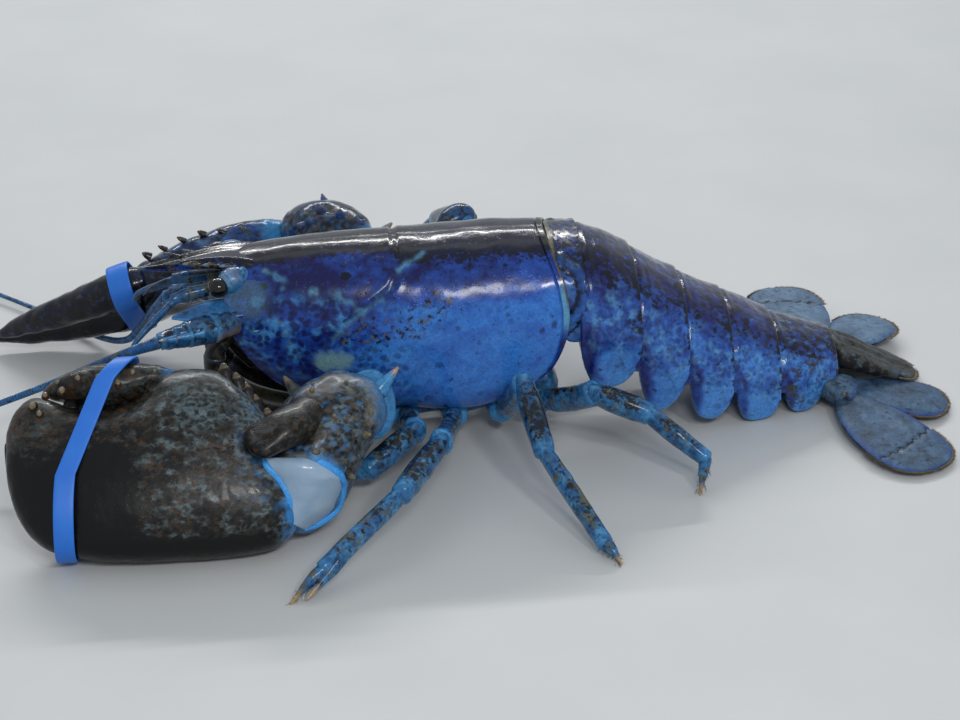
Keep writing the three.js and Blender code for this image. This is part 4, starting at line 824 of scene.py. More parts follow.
# Mouthparts
# The outer pair of foot-jaws folds over the mouth. They are stout, dark and edged inside with
# stiff hair, with the tips of the smaller jaws between them.
def bristles(roots, tips, radius, **marks):
    """Stiff hairs as tapering three-sided needles."""
    roots, tips = np.asarray(roots, float), np.asarray(tips, float)
    reach = tips - roots
    ahead = reach / np.maximum(np.linalg.norm(reach, axis=1, keepdims=True), 1e-6)
    helper = np.where(np.abs(ahead[:, 2:]) > 0.8, [[1.0, 0, 0]], [[0, 0, 1.0]])
    side = np.cross(ahead, helper)
    side /= np.linalg.norm(side, axis=1, keepdims=True)
    over = np.cross(side, ahead)
    corners = []
    for share, width in ((0, 1), (0.5, 0.75), (0.85, 0.4)):
        for turn in np.arange(3) * TURN / 3:
            out = side * np.cos(turn) + over * np.sin(turn)
            corners.append(roots + reach * share + out * radius * width)
    vertices = np.stack([*corners, tips], 1).reshape(-1, 3)
    sides = [[low + k, low + (k + 1) % 3, low + 3 + (k + 1) % 3, low + 3 + k]
             for low in (0, 3) for k in range(3)]
    points = [[6 + k, 6 + (k + 1) % 3, 9] for k in range(3)]
    start = np.arange(len(roots))[:, None, None] * 10
    faces = (start + np.array(sides)).reshape(-1, 4).tolist()
    faces += (start + np.array(points)).reshape(-1, 3).tolist()
    values = {mark: np.full(len(vertices), float(marks.get(mark, 0))) for mark in MARKS}
    return {"vertices": vertices, "faces": faces, "marks": values}


jaw_chitin = shell_material("olive_black_jaw_chitin", {
    "deep": "#151512", "mid": "#25261f", "bright": "#33384a", "ink": "#0d0e12", "pale": "#4c5360",
    "dark": "#0a0908", "warm": "#3b3520", "rim": "#3f566e", "cream": "#6a6042",
}, spot_mm=1.2, cell_mm=2.2, speck_mm=1.4, roughness=0.36)

FOOT_JAW = [(FRONT + 26, 8, 12, 4.5, 4.6), (FRONT + 13, 8.6, 14, 4.8, 6), (FRONT, 9, 20, 4.6, 6.5),
            (FRONT - 9, 9, 29, 4.2, 5.2), (FRONT - 9, 8.4, 38, 3.6, 4), (FRONT - 3, 8, 43, 1.6, 1.8)]
JAW_JOINTS = [0.0, 0.5, 0.74, 0.9, 1.0]
JAW_SWELL = [0.82, 0.95, 1, 1, 0.98, 0.96, 0.98, 1.05]
JAW_HAIRS = 420
JAW_HAIR_RADIUS = 0.11
for side, word in ((-1, "left"), (1, "right")):
    random = np.random.default_rng(40 + side)
    jaw = np.array(FOOT_JAW) * (1, side, 1, 1, 1)
    forms = []
    for k, rings, t, angle in jointed(jaw, JAW_JOINTS, JAW_SWELL, 0.03,
                                      along=26, around=28, up=(0, side, 0), caps=(0.4, 0.4)):
        forms.append(skin(rings, tone=0.35, dark=0.4, warm=0.35, rim=0.3 * smooth(0.88, 1, t), net=0.2))
    count = JAW_HAIRS
    middle = through(jaw, random.uniform(0.25, 0.99, count))
    roots = middle[:, :3] + np.stack([random.normal(0, 0.8, count), -side * middle[:, 3] * 0.8,
                                      random.normal(0, 1.2, count)], 1)
    tips = roots + np.stack([random.normal(-0.6, 1.2, count), -side * random.uniform(1.5, 4.2, count),
                             random.normal(1.2, 1.2, count)], 1)
    forms.append(bristles(roots, tips, JAW_HAIR_RADIUS, warm=0.6, dark=0.3))
    for k in range(3):
        inner_jaw = [(FRONT + 4 + 2 * k, side * (4 + 3 * k), 30 + 5 * k, 2.2, 2.6),
                     (FRONT - 2 + 1.5 * k, side * (5 + 3 * k), 38 + 4 * k, 2, 2.4),
                     (FRONT - 5 + 1.5 * k, side * (4 + 3.4 * k), 46 + 2.5 * k, 0.9, 1.2)]
        rings, _, _ = tube(inner_jaw, along=20, around=20)
        forms.append(skin(rings, tone=0.4, dark=0.3, warm=0.3, net=0.3))
    build_piece(f"{word}_foot_jaw", forms, jaw_chitin, "mouthparts", f"{word}_maxilliped")


# Claws
# The left claw is the heavy crusher and the right the slimmer cutter. Each is one thick shell that
# ends in the fixed finger, with the moving finger hinged on its inner edge, glossy and mottled.
CRUSHER_TILT = np.radians(42)
crusher_plane = {
    "origin": np.array([-92, -81.9, 12.5]),
    "length": np.array([-1.0, 0, 0]),
    "width": np.array([0, np.cos(CRUSHER_TILT), np.sin(CRUSHER_TILT)]),
}
cutter_length = np.array([-117.0, 11, -44])
cutter_length /= np.linalg.norm(cutter_length)
cutter_lean = np.array([0, -0.669, 0.743])
cutter_width = cutter_lean - cutter_length * (cutter_lean @ cutter_length)
cutter_plane = {
    "origin": np.array([-90, 73, 38]),
    "length": cutter_length,
    "width": cutter_width / np.linalg.norm(cutter_width),
}
for plane in (crusher_plane, cutter_plane):
    off = np.cross(plane["length"], plane["width"])
    plane["off"] = off if off[2] > 0 else -off


def claw_point(plane, along, across, off=0.0):
    """A point of a claw: length from wrist to tip, width up to the moving finger, off its plane."""
    return plane["origin"] + plane["length"] * along + plane["width"] * across + plane["off"] * off


def claw_rings(plane, stations, along, around, power):
    """Rings of a claw's shell from (along, low margin, high margin, half thickness, off)."""
    listed = [(*claw_point(plane, at, (low + high) / 2, off), (high - low) / 2, half)
              for at, low, high, half, off in stations]
    frame = (plane["width"], plane["off"])
    rings, _, _ = tube(listed, along, around, power, frame=frame, caps=(0.5, 0.7))
    local = rings - plane["origin"]
    return rings, local @ plane["length"], local @ plane["width"], local @ plane["off"]


PALM_SQUARENESS = 2.3
FINGER_SQUARENESS = 2.1
CRUSHER_PALM = [
    (1, -4, 15, 7, 0), (4.5, -8, 23, 9.8, 0), (9, -11, 33, 12.4, 0), (15, -12.4, 42, 14.5, 0),
    (24, -13.2, 51, 16, 0), (34, -13.4, 53.4, 16.5, 0), (44, -13.4, 51.8, 16.3, 0), (56, -13, 43.5, 15.5, 0),
    (67, -12, 40, 14.4, 0), (76, -10, 42, 12.9, 0), (84, -7.6, 45.6, 11.2, 0), (90, -3, 46.4, 9.4, 0),
    (95, 5, 42, 7, 0), (97.6, 14, 36, 4.4, 0), (98.4, 22, 31, 2, 0),
]
CRUSHER_FINGER = [
    (41, 48, 54, 4, 0), (47, 45.6, 55.8, 7.6, 0), (56, 42.8, 56.8, 9, 0), (64, 41.4, 57.4, 9, 0),
    (71, 43, 56.6, 8.4, 0), (77, 44.6, 54.6, 6.8, 0), (82, 46, 52, 4.6, 0), (85, 47.2, 49.4, 2, 0),
]
CUTTER_PALM = [
    (-3, 9, 20, 6, 0), (4, 4, 27, 8.5, -0.5), (14, 1, 34, 9.8, -2), (26, 0, 38, 10.4, -3.6),
    (40, 0, 38.5, 10.2, -4.8), (52, 0.5, 35, 9.6, -5.2), (62, 1, 25, 8.8, -5.2), (74, 1.8, 21, 7.8, -4.6),
    (88, 3.4, 19, 6.6, -3.4), (102, 6.4, 18, 5, -1.8), (114, 10.4, 17, 3.4, -0.5), (122, 14, 16.6, 1.2, 0),
]
CUTTER_FINGER = [
    (50, 28.6, 36, 4, -5), (55, 26, 38, 6.4, -5.2), (62, 23.6, 38.2, 7.2, -5.2),
    (74, 21, 36, 6.8, -4.6), (88, 19.2, 31.8, 5.8, -3.4), (102, 18, 26.6, 4.6, -1.8),
    (113, 17, 21.4, 3, -0.6), (120, 16.6, 18, 0.9, 0),
]
# the pale skin at the hinge of the moving finger, and a pale scar on the palm
HINGE_SKIN = (-135.6, -47.4, 50.4)
PALM_SCAR = [(-113.5, -71, 39.6), (-118.5, -72.5, 39.3)]

crusher_chitin = shell_material("mottled_crusher_chitin", {
    "deep": "#0a0908", "mid": "#292721", "bright": "#55656a", "ink": "#07080c", "pale": "#6e7e82",
    "dark": "#050505", "warm": "#432f1e", "rim": "#3f9be6", "cream": "#8f846c",
}, spot_mm=1.1, cell_mm=1.7, speck_mm=1.2, stretch=(0.8, 1, 1.1), roughness=0.34, coat=0.16)
cutter_chitin = shell_material("mottled_cutter_chitin", {
    "deep": "#0e1128", "mid": "#1c3c70", "bright": "#3f74a6", "ink": "#0a0c1c", "pale": "#6a8ca4",
    "dark": "#0d0b0c", "warm": "#40352a", "rim": "#489cd6", "cream": "#7d7064",
}, spot_mm=1.4, cell_mm=2.6, speck_mm=1.9, stretch=(0.7, 1, 1))

rings, along, across, off = claw_rings(crusher_plane, CRUSHER_PALM, 220, 170, PALM_SQUARENESS)
band_seat = hump(along, 50, 9) * hump(across, 42, 6) * smooth(-2, 4, off)
rings = raised(rings, 0.08 * ripple(rings, 11, 51) + 0.03 * ripple(rings, 2.6, 52) - 1.2 * band_seat)

# colour: netted and brighter at the base, browner at the far end, black over the lower part of the fixed
# finger, and painted black along the lower margin as shade
far_end = smooth(42, 58, along + 3 * ripple(rings, 12, 57))
black = smooth(25, 17, across + 3 * ripple(rings, 12, 53)) * smooth(52, 60, along)
# painted shade: a strip along the lower margin, where the claw turns under towards the floor, is painted
# black
black = np.maximum(black, smooth(-6.5, -10.5, across) * smooth(6, 12, along))
tip_zone = smooth(74, 84, along) * smooth(22, 30, across)
base_zone = smooth(26, 4, along) * smooth(-4, 6, across)
upper_face = smooth(24, 34, across) * smooth(46, 36, along)
bright_base = smooth(8, 2, along + 1.5 * ripple(rings, 4, 58)) * smooth(36, 28, across)
scar, _ = line_distance(rings, PALM_SCAR)
tone = 0.42 + 0.3 * base_zone + 0.2 * upper_face - 0.2 * far_end + 0.1 * ripple(rings, 16, 54)
tone = tone + 0.3 * tip_zone - 0.3 * black
dark = 0.26 + 0.25 * far_end * (1 - tip_zone) + 0.75 * black - 0.1 * base_zone
warm = 0.2 + 0.1 * smooth(8, 26, along) * (1 - upper_face)
warm = warm + 0.2 * hump(along, 60, 7) * smooth(14, 20, across)
warm = (warm + 0.1 * tip_zone) * (1 - black)
rim = 0.6 * bright_base + 0.3 * base_zone * np.clip(ripple(rings, 4, 59), 0, 1)
cream = 0.3 * smooth(1.6, 0.5, scar) + 0.4 * spot(rings, HINGE_SKIN, 3.6)
crusher_forms = [skin(rings, tone=tone, dark=dark, net=(0.8 - 0.55 * far_end) * (1 - black), warm=warm,
                      rim=rim, cream=cream)]

rings, along, across, off = claw_rings(crusher_plane, CRUSHER_FINGER, 110, 80, FINGER_SQUARENESS)
rings = raised(rings, 0.14 * ripple(rings, 6, 55) + 0.04 * ripple(rings, 1.8, 56))
finger_tip = smooth(68, 80, along)
finger_root = smooth(56, 48, along)
finger_forms = [skin(rings, tone=0.36 + 0.15 * finger_tip + 0.2 * finger_root, dark=0.42 - 0.12 * finger_tip,
                     warm=0.3 + 0.2 * finger_tip, net=0.3, rim=0.35 * smooth(46, 42, along))]

rings, along, across, off = claw_rings(cutter_plane, CUTTER_PALM, 220, 120, PALM_SQUARENESS)
ridge = 0.8 * hump(across, 12, 3.5) * smooth(45, 70, along) * smooth(118, 100, along)
rings = raised(rings, 0.2 * ripple(rings, 8, 61) + 0.06 * ripple(rings, 2.4, 62) + ridge)
black = smooth(34, 60, along + 5 * ripple(rings, 14, 63))
cutter_forms = [skin(rings, tone=0.42 - 0.36 * black, dark=0.36 + 0.45 * black, net=0.45 * (1 - black),
                     warm=0.2 + 0.14 * black, rim=0.5 * smooth(5, 0, along))]
rings, along, across, off = claw_rings(cutter_plane, CUTTER_FINGER, 130, 80, FINGER_SQUARENESS)
rings = raised(rings, 0.15 * ripple(rings, 5, 65))
cutter_finger_form = skin(rings, tone=0.2, dark=0.7, warm=0.42, net=0.15)

# low oblong beads along the inner margin of each palm, crushing molars on the fixed finger, and
# rounded knobs near the fingertips: places along and across, then off the plane and the radius
CRUSHER_ROW = [(23, 51), (19, 47.5), (16, 44), (13, 39.5), (9, 34)]
MOLARS = [(58, 44.2), (62.5, 43.4), (67, 43.4), (71.5, 44), (76, 45.6)]
CUTTER_KNOBS = 26
CUTTER_ROW = [(9, 31), (16, 35), (23, 37.4), (31, 38.4), (39, 38.5), (46, 37.6)]
TIP_KNOBS = [(88.5, 41.5, 8, 1.7), (78.4, 46, 9, 1.5), (84, 44.6, 9.4, 1.2), (86, 38, 9.6, 1.3)]
FINGER_KNOBS = [(54.4, 51, 8, 1.8), (59.5, 47.6, 8.8, 1.5), (47, 51.5, 6.6, 1.3), (44, 53, 3.6, 1.2),
                (66, 50, 8.8, 1.5), (73, 50.4, 7.6, 1.4), (80, 50, 5, 1.3)]
random = np.random.default_rng(7)
for along, across in CRUSHER_ROW:
    stand = 3 + random.uniform(0, 2)
    root = claw_point(crusher_plane, along, across - 1.4, stand)
    tip = claw_point(crusher_plane, along + 0.6, across + random.uniform(1.2, 1.8), stand + 1.2)
    crusher_forms.append(bead(root, tip, 2.8, tone=0.1, dark=0.4, warm=0.35, cream=0.3))
for along, across in MOLARS:
    root, tip = (claw_point(crusher_plane, along, across - sunk, 1) for sunk in (2.4, 0))
    crusher_forms.append(bead(root, tip, 2.7, dark=0.9, cream=0.1))
for knobs, forms, stand, lean, tints in (
        (TIP_KNOBS, crusher_forms, 1.2, 0, {"dark": 0.1, "warm": 0.6, "cream": 0.7}),
        (FINGER_KNOBS, finger_forms, 1.1, 0.4, {"dark": 0.2, "warm": 0.7, "cream": 0.6})):
    for along, across, off, radius in knobs:
        root = claw_point(crusher_plane, along, across, off - 0.6)
        tip = root + crusher_plane["off"] * stand + crusher_plane["width"] * lean
        forms.append(bead(root, tip, radius, **tints))
for along, across in CUTTER_ROW:
    stand = 1 + random.uniform(0, 2)
    root = claw_point(cutter_plane, along, across - 1.4, stand)
    tip = claw_point(cutter_plane, along + 1, across - random.uniform(0, 0.7), stand + 0.8)
    cutter_forms.append(bead(root, tip, random.uniform(0.9, 1.4), tone=0.2, dark=0.6, warm=0.8, cream=0.25))
for _ in range(CUTTER_KNOBS):
    along, across = random.uniform(6, 50), random.uniform(12, 31)
    root = claw_point(cutter_plane, along, across, 5.2 - 0.08 * along - abs(across - 20) * 0.08)
    tip = root + cutter_plane["off"] * random.uniform(0.6, 1.2) + cutter_plane["width"] * 0.4
    cutter_forms.append(bead(root, tip, random.uniform(0.7, 1.2), tone=0.2, dark=0.5, warm=0.8, cream=0.3))
for node, forms, material in (("crusher_palm", crusher_forms, crusher_chitin),
                              ("crusher_finger", finger_forms, crusher_chitin),
                              ("cutter_palm", cutter_forms, cutter_chitin),
                              ("cutter_finger", [cutter_finger_form], cutter_chitin)):
    build_piece(f"{node}_shell", forms, material, "claw_shell", node)


# Claw bands
# A flat moulded rubber band is stretched round both fingers of each claw and holds them shut.
BAND_THICKNESS = 1.0
BAND_PROFILE = 16
BAND_SQUARENESS = 5
# how far along the claw a band lies from its low end to its high one, and each end's middle,
# reach and half thickness
CRUSHER_BAND = {"width": 6.8, "off": 0, "along": (79, 77.5, 73.5, 56),
                "ends": ((14, 24.6, 14.6), (48.8, 9.4, 9.8))}
CUTTER_BAND = {"width": 8.8, "off": -5, "along": (64, 62.5, 60.5, 58.5),
               "ends": ((12, 11.6, 9.6), (29, 9.6, 8.6))}

# Stretched latex: evenly coloured and satin, with a powdery bloom that is drawn coarser than it is.
BLOOM_MM = 0.5
band_rubber = two_tint_material(
    "stretched_latex_band", ("#1664c8", "#2478d8"), 9, 3.0, {"Roughness": 0.45, "IOR": 1.52},
    relief=("TexNoise", {"Scale": PER_METRE / BLOOM_MM, "Detail": 2.0}, 0.15, 0.1))


def band_rings(plane, band, steps=40):
    """A closed loop of flat rounded sections round the fixed finger and the moving one."""
    (low_centre, low_reach, _), (high_centre, high_reach, _) = band["ends"]
    low, high = low_centre - low_reach, high_centre + high_reach
    edge, layer = oval((np.arange(BAND_PROFILE) + 0.5) / BAND_PROFILE * TURN, BAND_SQUARENESS)
    out = (layer + 1) / 2 * BAND_THICKNESS
    sections = []
    for first, (centre, reach, thick) in zip((0.5, -0.5), band["ends"]):
        across, over = oval(first * np.pi + np.linspace(0, np.pi, steps), PALM_SQUARENESS)
        along = through(band["along"], np.clip((centre + across * reach - low) / (high - low), 0, 1))
        for k in range(steps):
            sections.append([
                claw_point(plane, along[k] + side * band["width"] / 2, centre + across[k] * (reach + up),
                           band["off"] + over[k] * (thick + up)) for side, up in zip(edge, out)])
    return np.array(sections)


def closed_loop(sections):
    """The surface of a ring whose last section meets its first."""
    count, around = sections.shape[:2]
    index = np.arange(count * around).reshape(count, around)
    ahead = np.roll(index, -1, 0)
    turned, both = np.roll(index, -1, 1), np.roll(ahead, -1, 1)
    faces = np.stack([index, turned, both, ahead], -1).reshape(-1, 4)
    vertices = sections.reshape(-1, 3)
    a, b, c = (vertices[faces[:, k]] for k in range(3))
    if np.einsum("ij,ij->", a, np.cross(b, c)) < 0:
        faces = faces[:, ::-1]
    marks = {mark: np.zeros(len(vertices)) for mark in MARKS}
    return {"vertices": vertices, "faces": faces.tolist(), "marks": marks}


for name, plane, band in (("crusher", crusher_plane, CRUSHER_BAND), ("cutter", cutter_plane, CUTTER_BAND)):
    loop = closed_loop(band_rings(plane, band))
    build_piece(f"{name}_rubber_band", [loop], band_rubber, "band", f"{name}_band")


# Wrists and arms
# Each claw hangs on a knobbed wrist joint and on a stout upper arm that runs in to the thorax.
# On the crusher's side a smooth grey skin fold shows between two thick azure rims.
CLAW_HIP = {-1: np.array([-69, -17, 12.5]), 1: np.array([-69, 17, 12.5])}
ARM = {
    -1: {"elbow": np.array([-66, -49, 35]), "radii": (9, 10.4, 11.8),
         "wrist": [(-69, -51, 36.5, 11.5, 11), (-75, -55, 36, 14.5, 14), (-84, -61.5, 30.5, 16.5, 16.5),
                   (-88.5, -69, 20.5, 14.4, 17), (-91.5, -74, 13.5, 12, 14.5), (-94, -78.5, 9, 8, 9.5)]},
    1: {"elbow": np.array([-62, 46, 46.5]), "radii": (8, 9, 9.4),
        "wrist": [(-64.5, 48, 48, 9.5, 9), (-70, 52, 50.5, 12.5, 11.6), (-77, 56, 51.6, 13, 12.6),
                  (-83, 59, 51.2, 11, 11.6), (-88, 60.5, 50, 8, 9)]},
}
WRIST_SPINES = {
    -1: [((-91, -44, 38), (-95, -40, 42.6), 2.8), ((-84, -54, 44.5), (-85.6, -56, 48.4), 2.2),
         ((-74.5, -57, 46), (-74, -59, 50), 2.4), ((-71.5, -66, 33), (-67.5, -71, 35.5), 3),
         ((-76, -76, 24), (-73.5, -80.5, 24.5), 2.4)],
    1: [((-84, 50, 58), (-87, 46.5, 60.5), 2.4), ((-78, 52, 62.5), (-79, 50.5, 66.5), 2.4),
        ((-71, 50, 61.5), (-71, 48, 65), 2.2), ((-76, 66, 59), (-77, 69, 62), 2.2),
        ((-64, 50, 57), (-62, 48.5, 60), 2)],
}
# a rounded lobe of the crusher's wrist that reaches over the root of its palm
LOBE = [(*claw_point(crusher_plane, -4, 30, 10), 8, 8), (*claw_point(crusher_plane, 4, 25, 17), 8, 6),
        (*claw_point(crusher_plane, 13, 20, 18), 8, 3.8)]
WRIST_BEADS = [((-85.8, -78.4, 34.2), (-86.2, -80.2, 35.6), 2.0), ((-85.6, -58.6, 46), (-86, -60, 48), 1.8),
               ((-74.1, -60.6, 46.8), (-74, -62, 48.6), 1.8), ((-79, -70, 42.6), (-79, -71.6, 44), 1.4)]
# the two rims between which the joint skin of the crusher shows, on its palm and on its wrist
PALM_RIM = [(-103.4, -78.6, 33.4), (-102.1, -80.4, 30.8), (-98.4, -82.3, 26.6), (-95.6, -85.3, 20.6),
            (-95.6, -88.2, 13)]
WRIST_RIM = [(-86.4, -79.6, 33), (-84.7, -80.9, 31.8), (-81.4, -80.6, 29.1), (-77.6, -79, 24),
             (-77.3, -76.8, 19), (-79.7, -76.9, 10.8), (-85.7, -80.8, 8.1), (-91, -84.4, 7.6)]
# a pale olive band on the crusher's wrist, and the way in which the joint skin bulges
OLIVE_BAND = [(-67.7, -56.7, 46.9), (-65.7, -61.4, 43.6), (-66.8, -65.9, 39.1)]
SKIN_OUT = (0.05, -0.87, 0.48)

MEMBRANE_GRAIN_MM = 1.6
# Joint membrane: uncalcified cuticle, satin and slightly see-through, so light softens inside it.
joint_membrane = two_tint_material(
    "wet_joint_membrane", ("#7090b0", "#a9bccb"), 9, 3.0,
    {"Roughness": 0.3, "IOR": 1.42, "Coat Weight": 0.4, "Coat Roughness": 0.12,
     "Subsurface Weight": 0.15, "Subsurface Radius": (0.0012, 0.0016, 0.002)},
    relief=("TexNoise", {"Scale": PER_METRE / MEMBRANE_GRAIN_MM, "Detail": 3.0}, 0.12, 0.2))


def along_line(line, share):
    """Points at the given shares of the length of a chain of points."""
    line = np.asarray(line, float)
    run = np.concatenate([[0], np.cumsum(np.linalg.norm(np.diff(line, axis=0), axis=1))])
    return np.stack([np.interp(share * run[-1], run, line[:, k]) for k in range(3)], -1)


def rim_bead(line, radius, flatness=0.75, **marks):
    """A thick rounded rim along a chain of points."""
    stations = [(*at, radius, radius * flatness) for at in line]
    stations[0] = (*line[0], radius * 0.4, radius * 0.3)
    stations[-1] = (*line[-1], radius * 0.4, radius * 0.3)
    rings, _, _ = tube(stations, along=70, around=20, power=2, up=(0.3, -0.7, 0.6))
    return skin(rings, **marks)


for side, name, material in ((-1, "crusher", crusher_chitin), (1, "cutter", cutter_chitin)):
    arm = ARM[side]
    crusher = side < 0
    rings, t, angle = tube(arm["wrist"], along=90, around=90, power=2.3)
    rings = raised(rings, 0.25 * ripple(rings, 9, 70 + side) + 0.05 * ripple(rings, 2.4, 72 + side))
    low_side = smooth(0.55, 0.7, t) * crusher
    olive, _ = line_distance(rings, OLIVE_BAND)
    to_rim, _ = line_distance(rings, WRIST_RIM)
    azure = np.maximum(0.7 * smooth(4, 1, to_rim) * crusher, 0.4 * smooth(0.16, 0.03, t))
    azure = np.maximum(azure, 0.3 * low_side)
    azure = np.maximum(azure, (0.3 if crusher else 0.16) * np.clip(ripple(rings, 2.4, 90) - 0.1, 0, 1))
    black = spot(rings, (-89, -72, 46), 15) if crusher else 0.6 * smooth(52, 58, rings[..., 2])
    cream = 0.25 * smooth(4, 2, olive) * crusher + 0.2 * np.clip(ripple(rings, 2.6, 91), 0, 1)
    forms = [skin(rings, tone=0.6 - 0.2 * low_side - 0.3 * black, dark=0.36 * (1 - azure) + 0.5 * black,
                  net=0.85 * (1 - azure), warm=0.25 * (1 - azure), rim=0.85 * azure, cream=cream)]
    if crusher:
        rings, _, _ = tube(LOBE, along=40, around=48, caps=(0.6, 1))
        rings = raised(rings, 0.12 * ripple(rings, 8, 75))
        forms.append(skin(rings, tone=0.25, dark=0.5, warm=0.35, net=0.25))
        forms.append(rim_bead(WRIST_RIM, 1.5, tone=0.8, rim=0.9))
        for root, tip, radius in WRIST_BEADS:
            forms.append(bead(root, tip, radius, dark=0.9, warm=0.3, cream=0.5))
    for root, tip, radius in WRIST_SPINES[side]:
        forms.append(thorn(root, tip, radius, tone=0.6, dark=0.25, warm=0.3, cream=0.5))
    build_piece(f"{name}_wrist_shell", forms, material, "claw_shell", f"{name}_wrist")

    hip, elbow, radii = CLAW_HIP[side], arm["elbow"], arm["radii"]
    bend = hip + (elbow - hip) * 0.45 - (0, 0, 1)
    stations = [(*(hip + (elbow - hip) * 0.06), 5, 5.6), (*(hip + (bend - hip) * 0.7), 6, radii[0] * 0.8),
                (*bend, 6.6, radii[0]), (*(bend + (elbow - bend) * 0.6), 7.6, radii[1]),
                (*elbow, 8.6, radii[2])]
    rings, t, angle = tube(stations, along=60, around=56, caps=(0.4, 0.25))
    collar = smooth(0.84, 0.97, t)
    rings = raised(rings, 0.2 * ripple(rings, 6, 80 + side) + 0.5 * collar)
    forms = [skin(rings, tone=0.5, dark=0.25 * (1 - collar), rim=0.3 * collar, net=0.3,
                  warm=0.35 * smooth(0.62, 0.75, t) * (1 - collar))]
    forms.append(thorn(elbow + (5, 0, 7.5), elbow + (10, -side, 13), 2.6, tone=0.9, dark=0.05, cream=0.85))
    build_piece(f"{name}_arm_shell", forms, limb_chitin, "leg_shell", f"{name}_arm")

# the skin between palm and wrist bulges out between their two rims, fullest in the middle
rows, columns = np.linspace(0, 1, 41), np.linspace(0, 1, 25)
palm_edge, wrist_edge = along_line(PALM_RIM, rows)[:, None], along_line(WRIST_RIM, rows)[:, None]
sheet = palm_edge + (wrist_edge - palm_edge) * columns[:, None]
bulge = (1.6 + 3.8 * np.sin(rows * np.pi))[:, None] * np.sin(columns * np.pi) ** 0.6 * (0.85 + 0.6 * columns)
front_face = sheet + bulge[..., None] * SKIN_OUT
back_face = sheet - 2 * np.array(SKIN_OUT)
fold_rings = np.concatenate([front_face, back_face[:, ::-1]], 1)
build_piece("crusher_joint_skin", [skin(fold_rings)], joint_membrane, "claw_shell")
build_piece("crusher_palm_rim", [rim_bead(PALM_RIM, 1.6, tone=0.8, rim=0.9)], crusher_chitin, "claw_shell")


# Walking legs
# Eight slender legs of tubular segments, each flared into a bright rim at the joint it carries.
# The first two pairs end in small pincers, the last two in a single horn-tipped claw.

# hip, knee, wrist, ankle and tip of each
LEGS = {
    "left_2": [(-52, -16, 11.5), (-50, -39, 17.5), (-68, -52, 10), (-88, -42, 4.5), (-101, -36, 0.1)],
    "left_3": [(-34, -17, 11), (-42.5, -59, 23.5), (-58, -85.5, 20), (-85.5, -109.5, 7.5),
               (-97, -117.5, 0.1)],
    "left_4": [(-17, -17, 11.5), (-11.5, -43, 36), (-7, -66, 21.5), (9.5, -100, 4.5), (14, -107, 0.1)],
    "left_5": [(-3, -14, 13), (14, -39, 28.5), (32, -47, 23.5), (50.5, -61, 12), (48, -66, 0.1)],
    "right_2": [(-52, 16, 11.5), (-46, 49, 29), (-62, 69, 23), (-82, 87, 7.5), (-90, 94, 0.1)],
    "right_3": [(-34, 17, 11), (-23, 64, 53), (-31, 92, 38), (-44, 116, 11), (-48, 122, 0.1)],
    "right_4": [(-17, 17, 11.5), (-9, 48, 34), (-3, 68, 22), (10, 98, 5), (15, 105, 0.1)],
    "right_5": [(-3, 14, 13), (14, 39, 27), (32, 47, 22), (50, 61, 11), (49, 67, 0.1)],
}
PINCHING_LEGS = ("left_2", "left_3", "right_2", "right_3")
# the stretch of the first segment that a thigh covers, how far the next two lap back over their
# joints, and how deep a pinching hand and a plain one are
THIGH_SPAN = (0.12, 0.97)
KNEE_LAP = 0.08
SHIN_LAP = 0.05
PINCHING_HAND = 3.9
PLAIN_HAND = 3.3
# how far the fixed toe of a pincer stands beside the moving one, and how far it runs along it
TOE_SPACING = 3.6
FIXED_TOE_SHARE = 0.72
# half widths and half depths along each segment
THIGH_SIZES = [(3.2, 3.9), (3.5, 4.5), (3.2, 4.6), (3.3, 4.6), (3.6, 4.6), (4.2, 4.8)]
KNEE_SIZES = [(2.8, 3.2), (3.8, 4.2), (4.1, 4.5), (4, 4.5), (3.7, 4.1)]
TOE_SIZES = [(2.2, 2.7), (2.1, 2.4), (1.6, 1.8), (0.9, 1.0), (0.35, 0.35)]
FIXED_TOE_SIZES = [(2, 2.6), (2, 2.3), (1.5, 1.7), (0.9, 1.0), (0.35, 0.35)]
TOE_HAIRS = 90
TOE_HAIR_RADIUS = 0.09
HAIR_CLEARANCE = 0.2
# the swollen knee of the third right leg, which shows above the back
SWOLLEN_KNEE = [(-32, 60, 50, 3, 3), (-29.6, 61, 51, 5, 4.8), (-25.4, 63, 52.4, 5.6, 5.2),
                (-22, 64, 52, 4.8, 4.6), (-20, 65, 51, 2.4, 2.4)]


def leg_segment(start, end, sizes, seed, patch, tip=0.0, sag=0.0):
    """One tube of a leg, narrow where it is hinged and flared where it carries the next."""
    start, end = np.asarray(start, float), np.asarray(end, float)
    stations = []
    for share, (wide, deep) in zip(np.linspace(0, 1, len(sizes)), sizes):
        at = start + (end - start) * share - (0, 0, sag * 4 * share * (1 - share))
        stations.append((*at, wide, deep))
    rings, t, angle = tube(stations, along=44, around=28, caps=(0.5, 1 if tip else 0.5))
    rings = raised(rings, 0.07 * ripple(rings, 5, seed))
    top = smooth(-0.1, 0.8, np.sin(angle))
    middle = smooth(0.08, 0.3, t) * smooth(0.95, 0.75, t)
    edge = smooth(0.88, 0.97, t) * (tip == 0) + 0.6 * smooth(0.1, 0.02, t)
    horn = smooth(0.62, 0.9, t) * tip
    dark = (patch * top * middle + 0.16) * (1 - horn)
    return skin(rings, tone=0.55 + 0.15 * ripple(rings, 9, seed + 1), dark=dark, net=0.5,
                warm=0.3 * middle + 0.12 * top, rim=0.22 * edge, cream=horn)


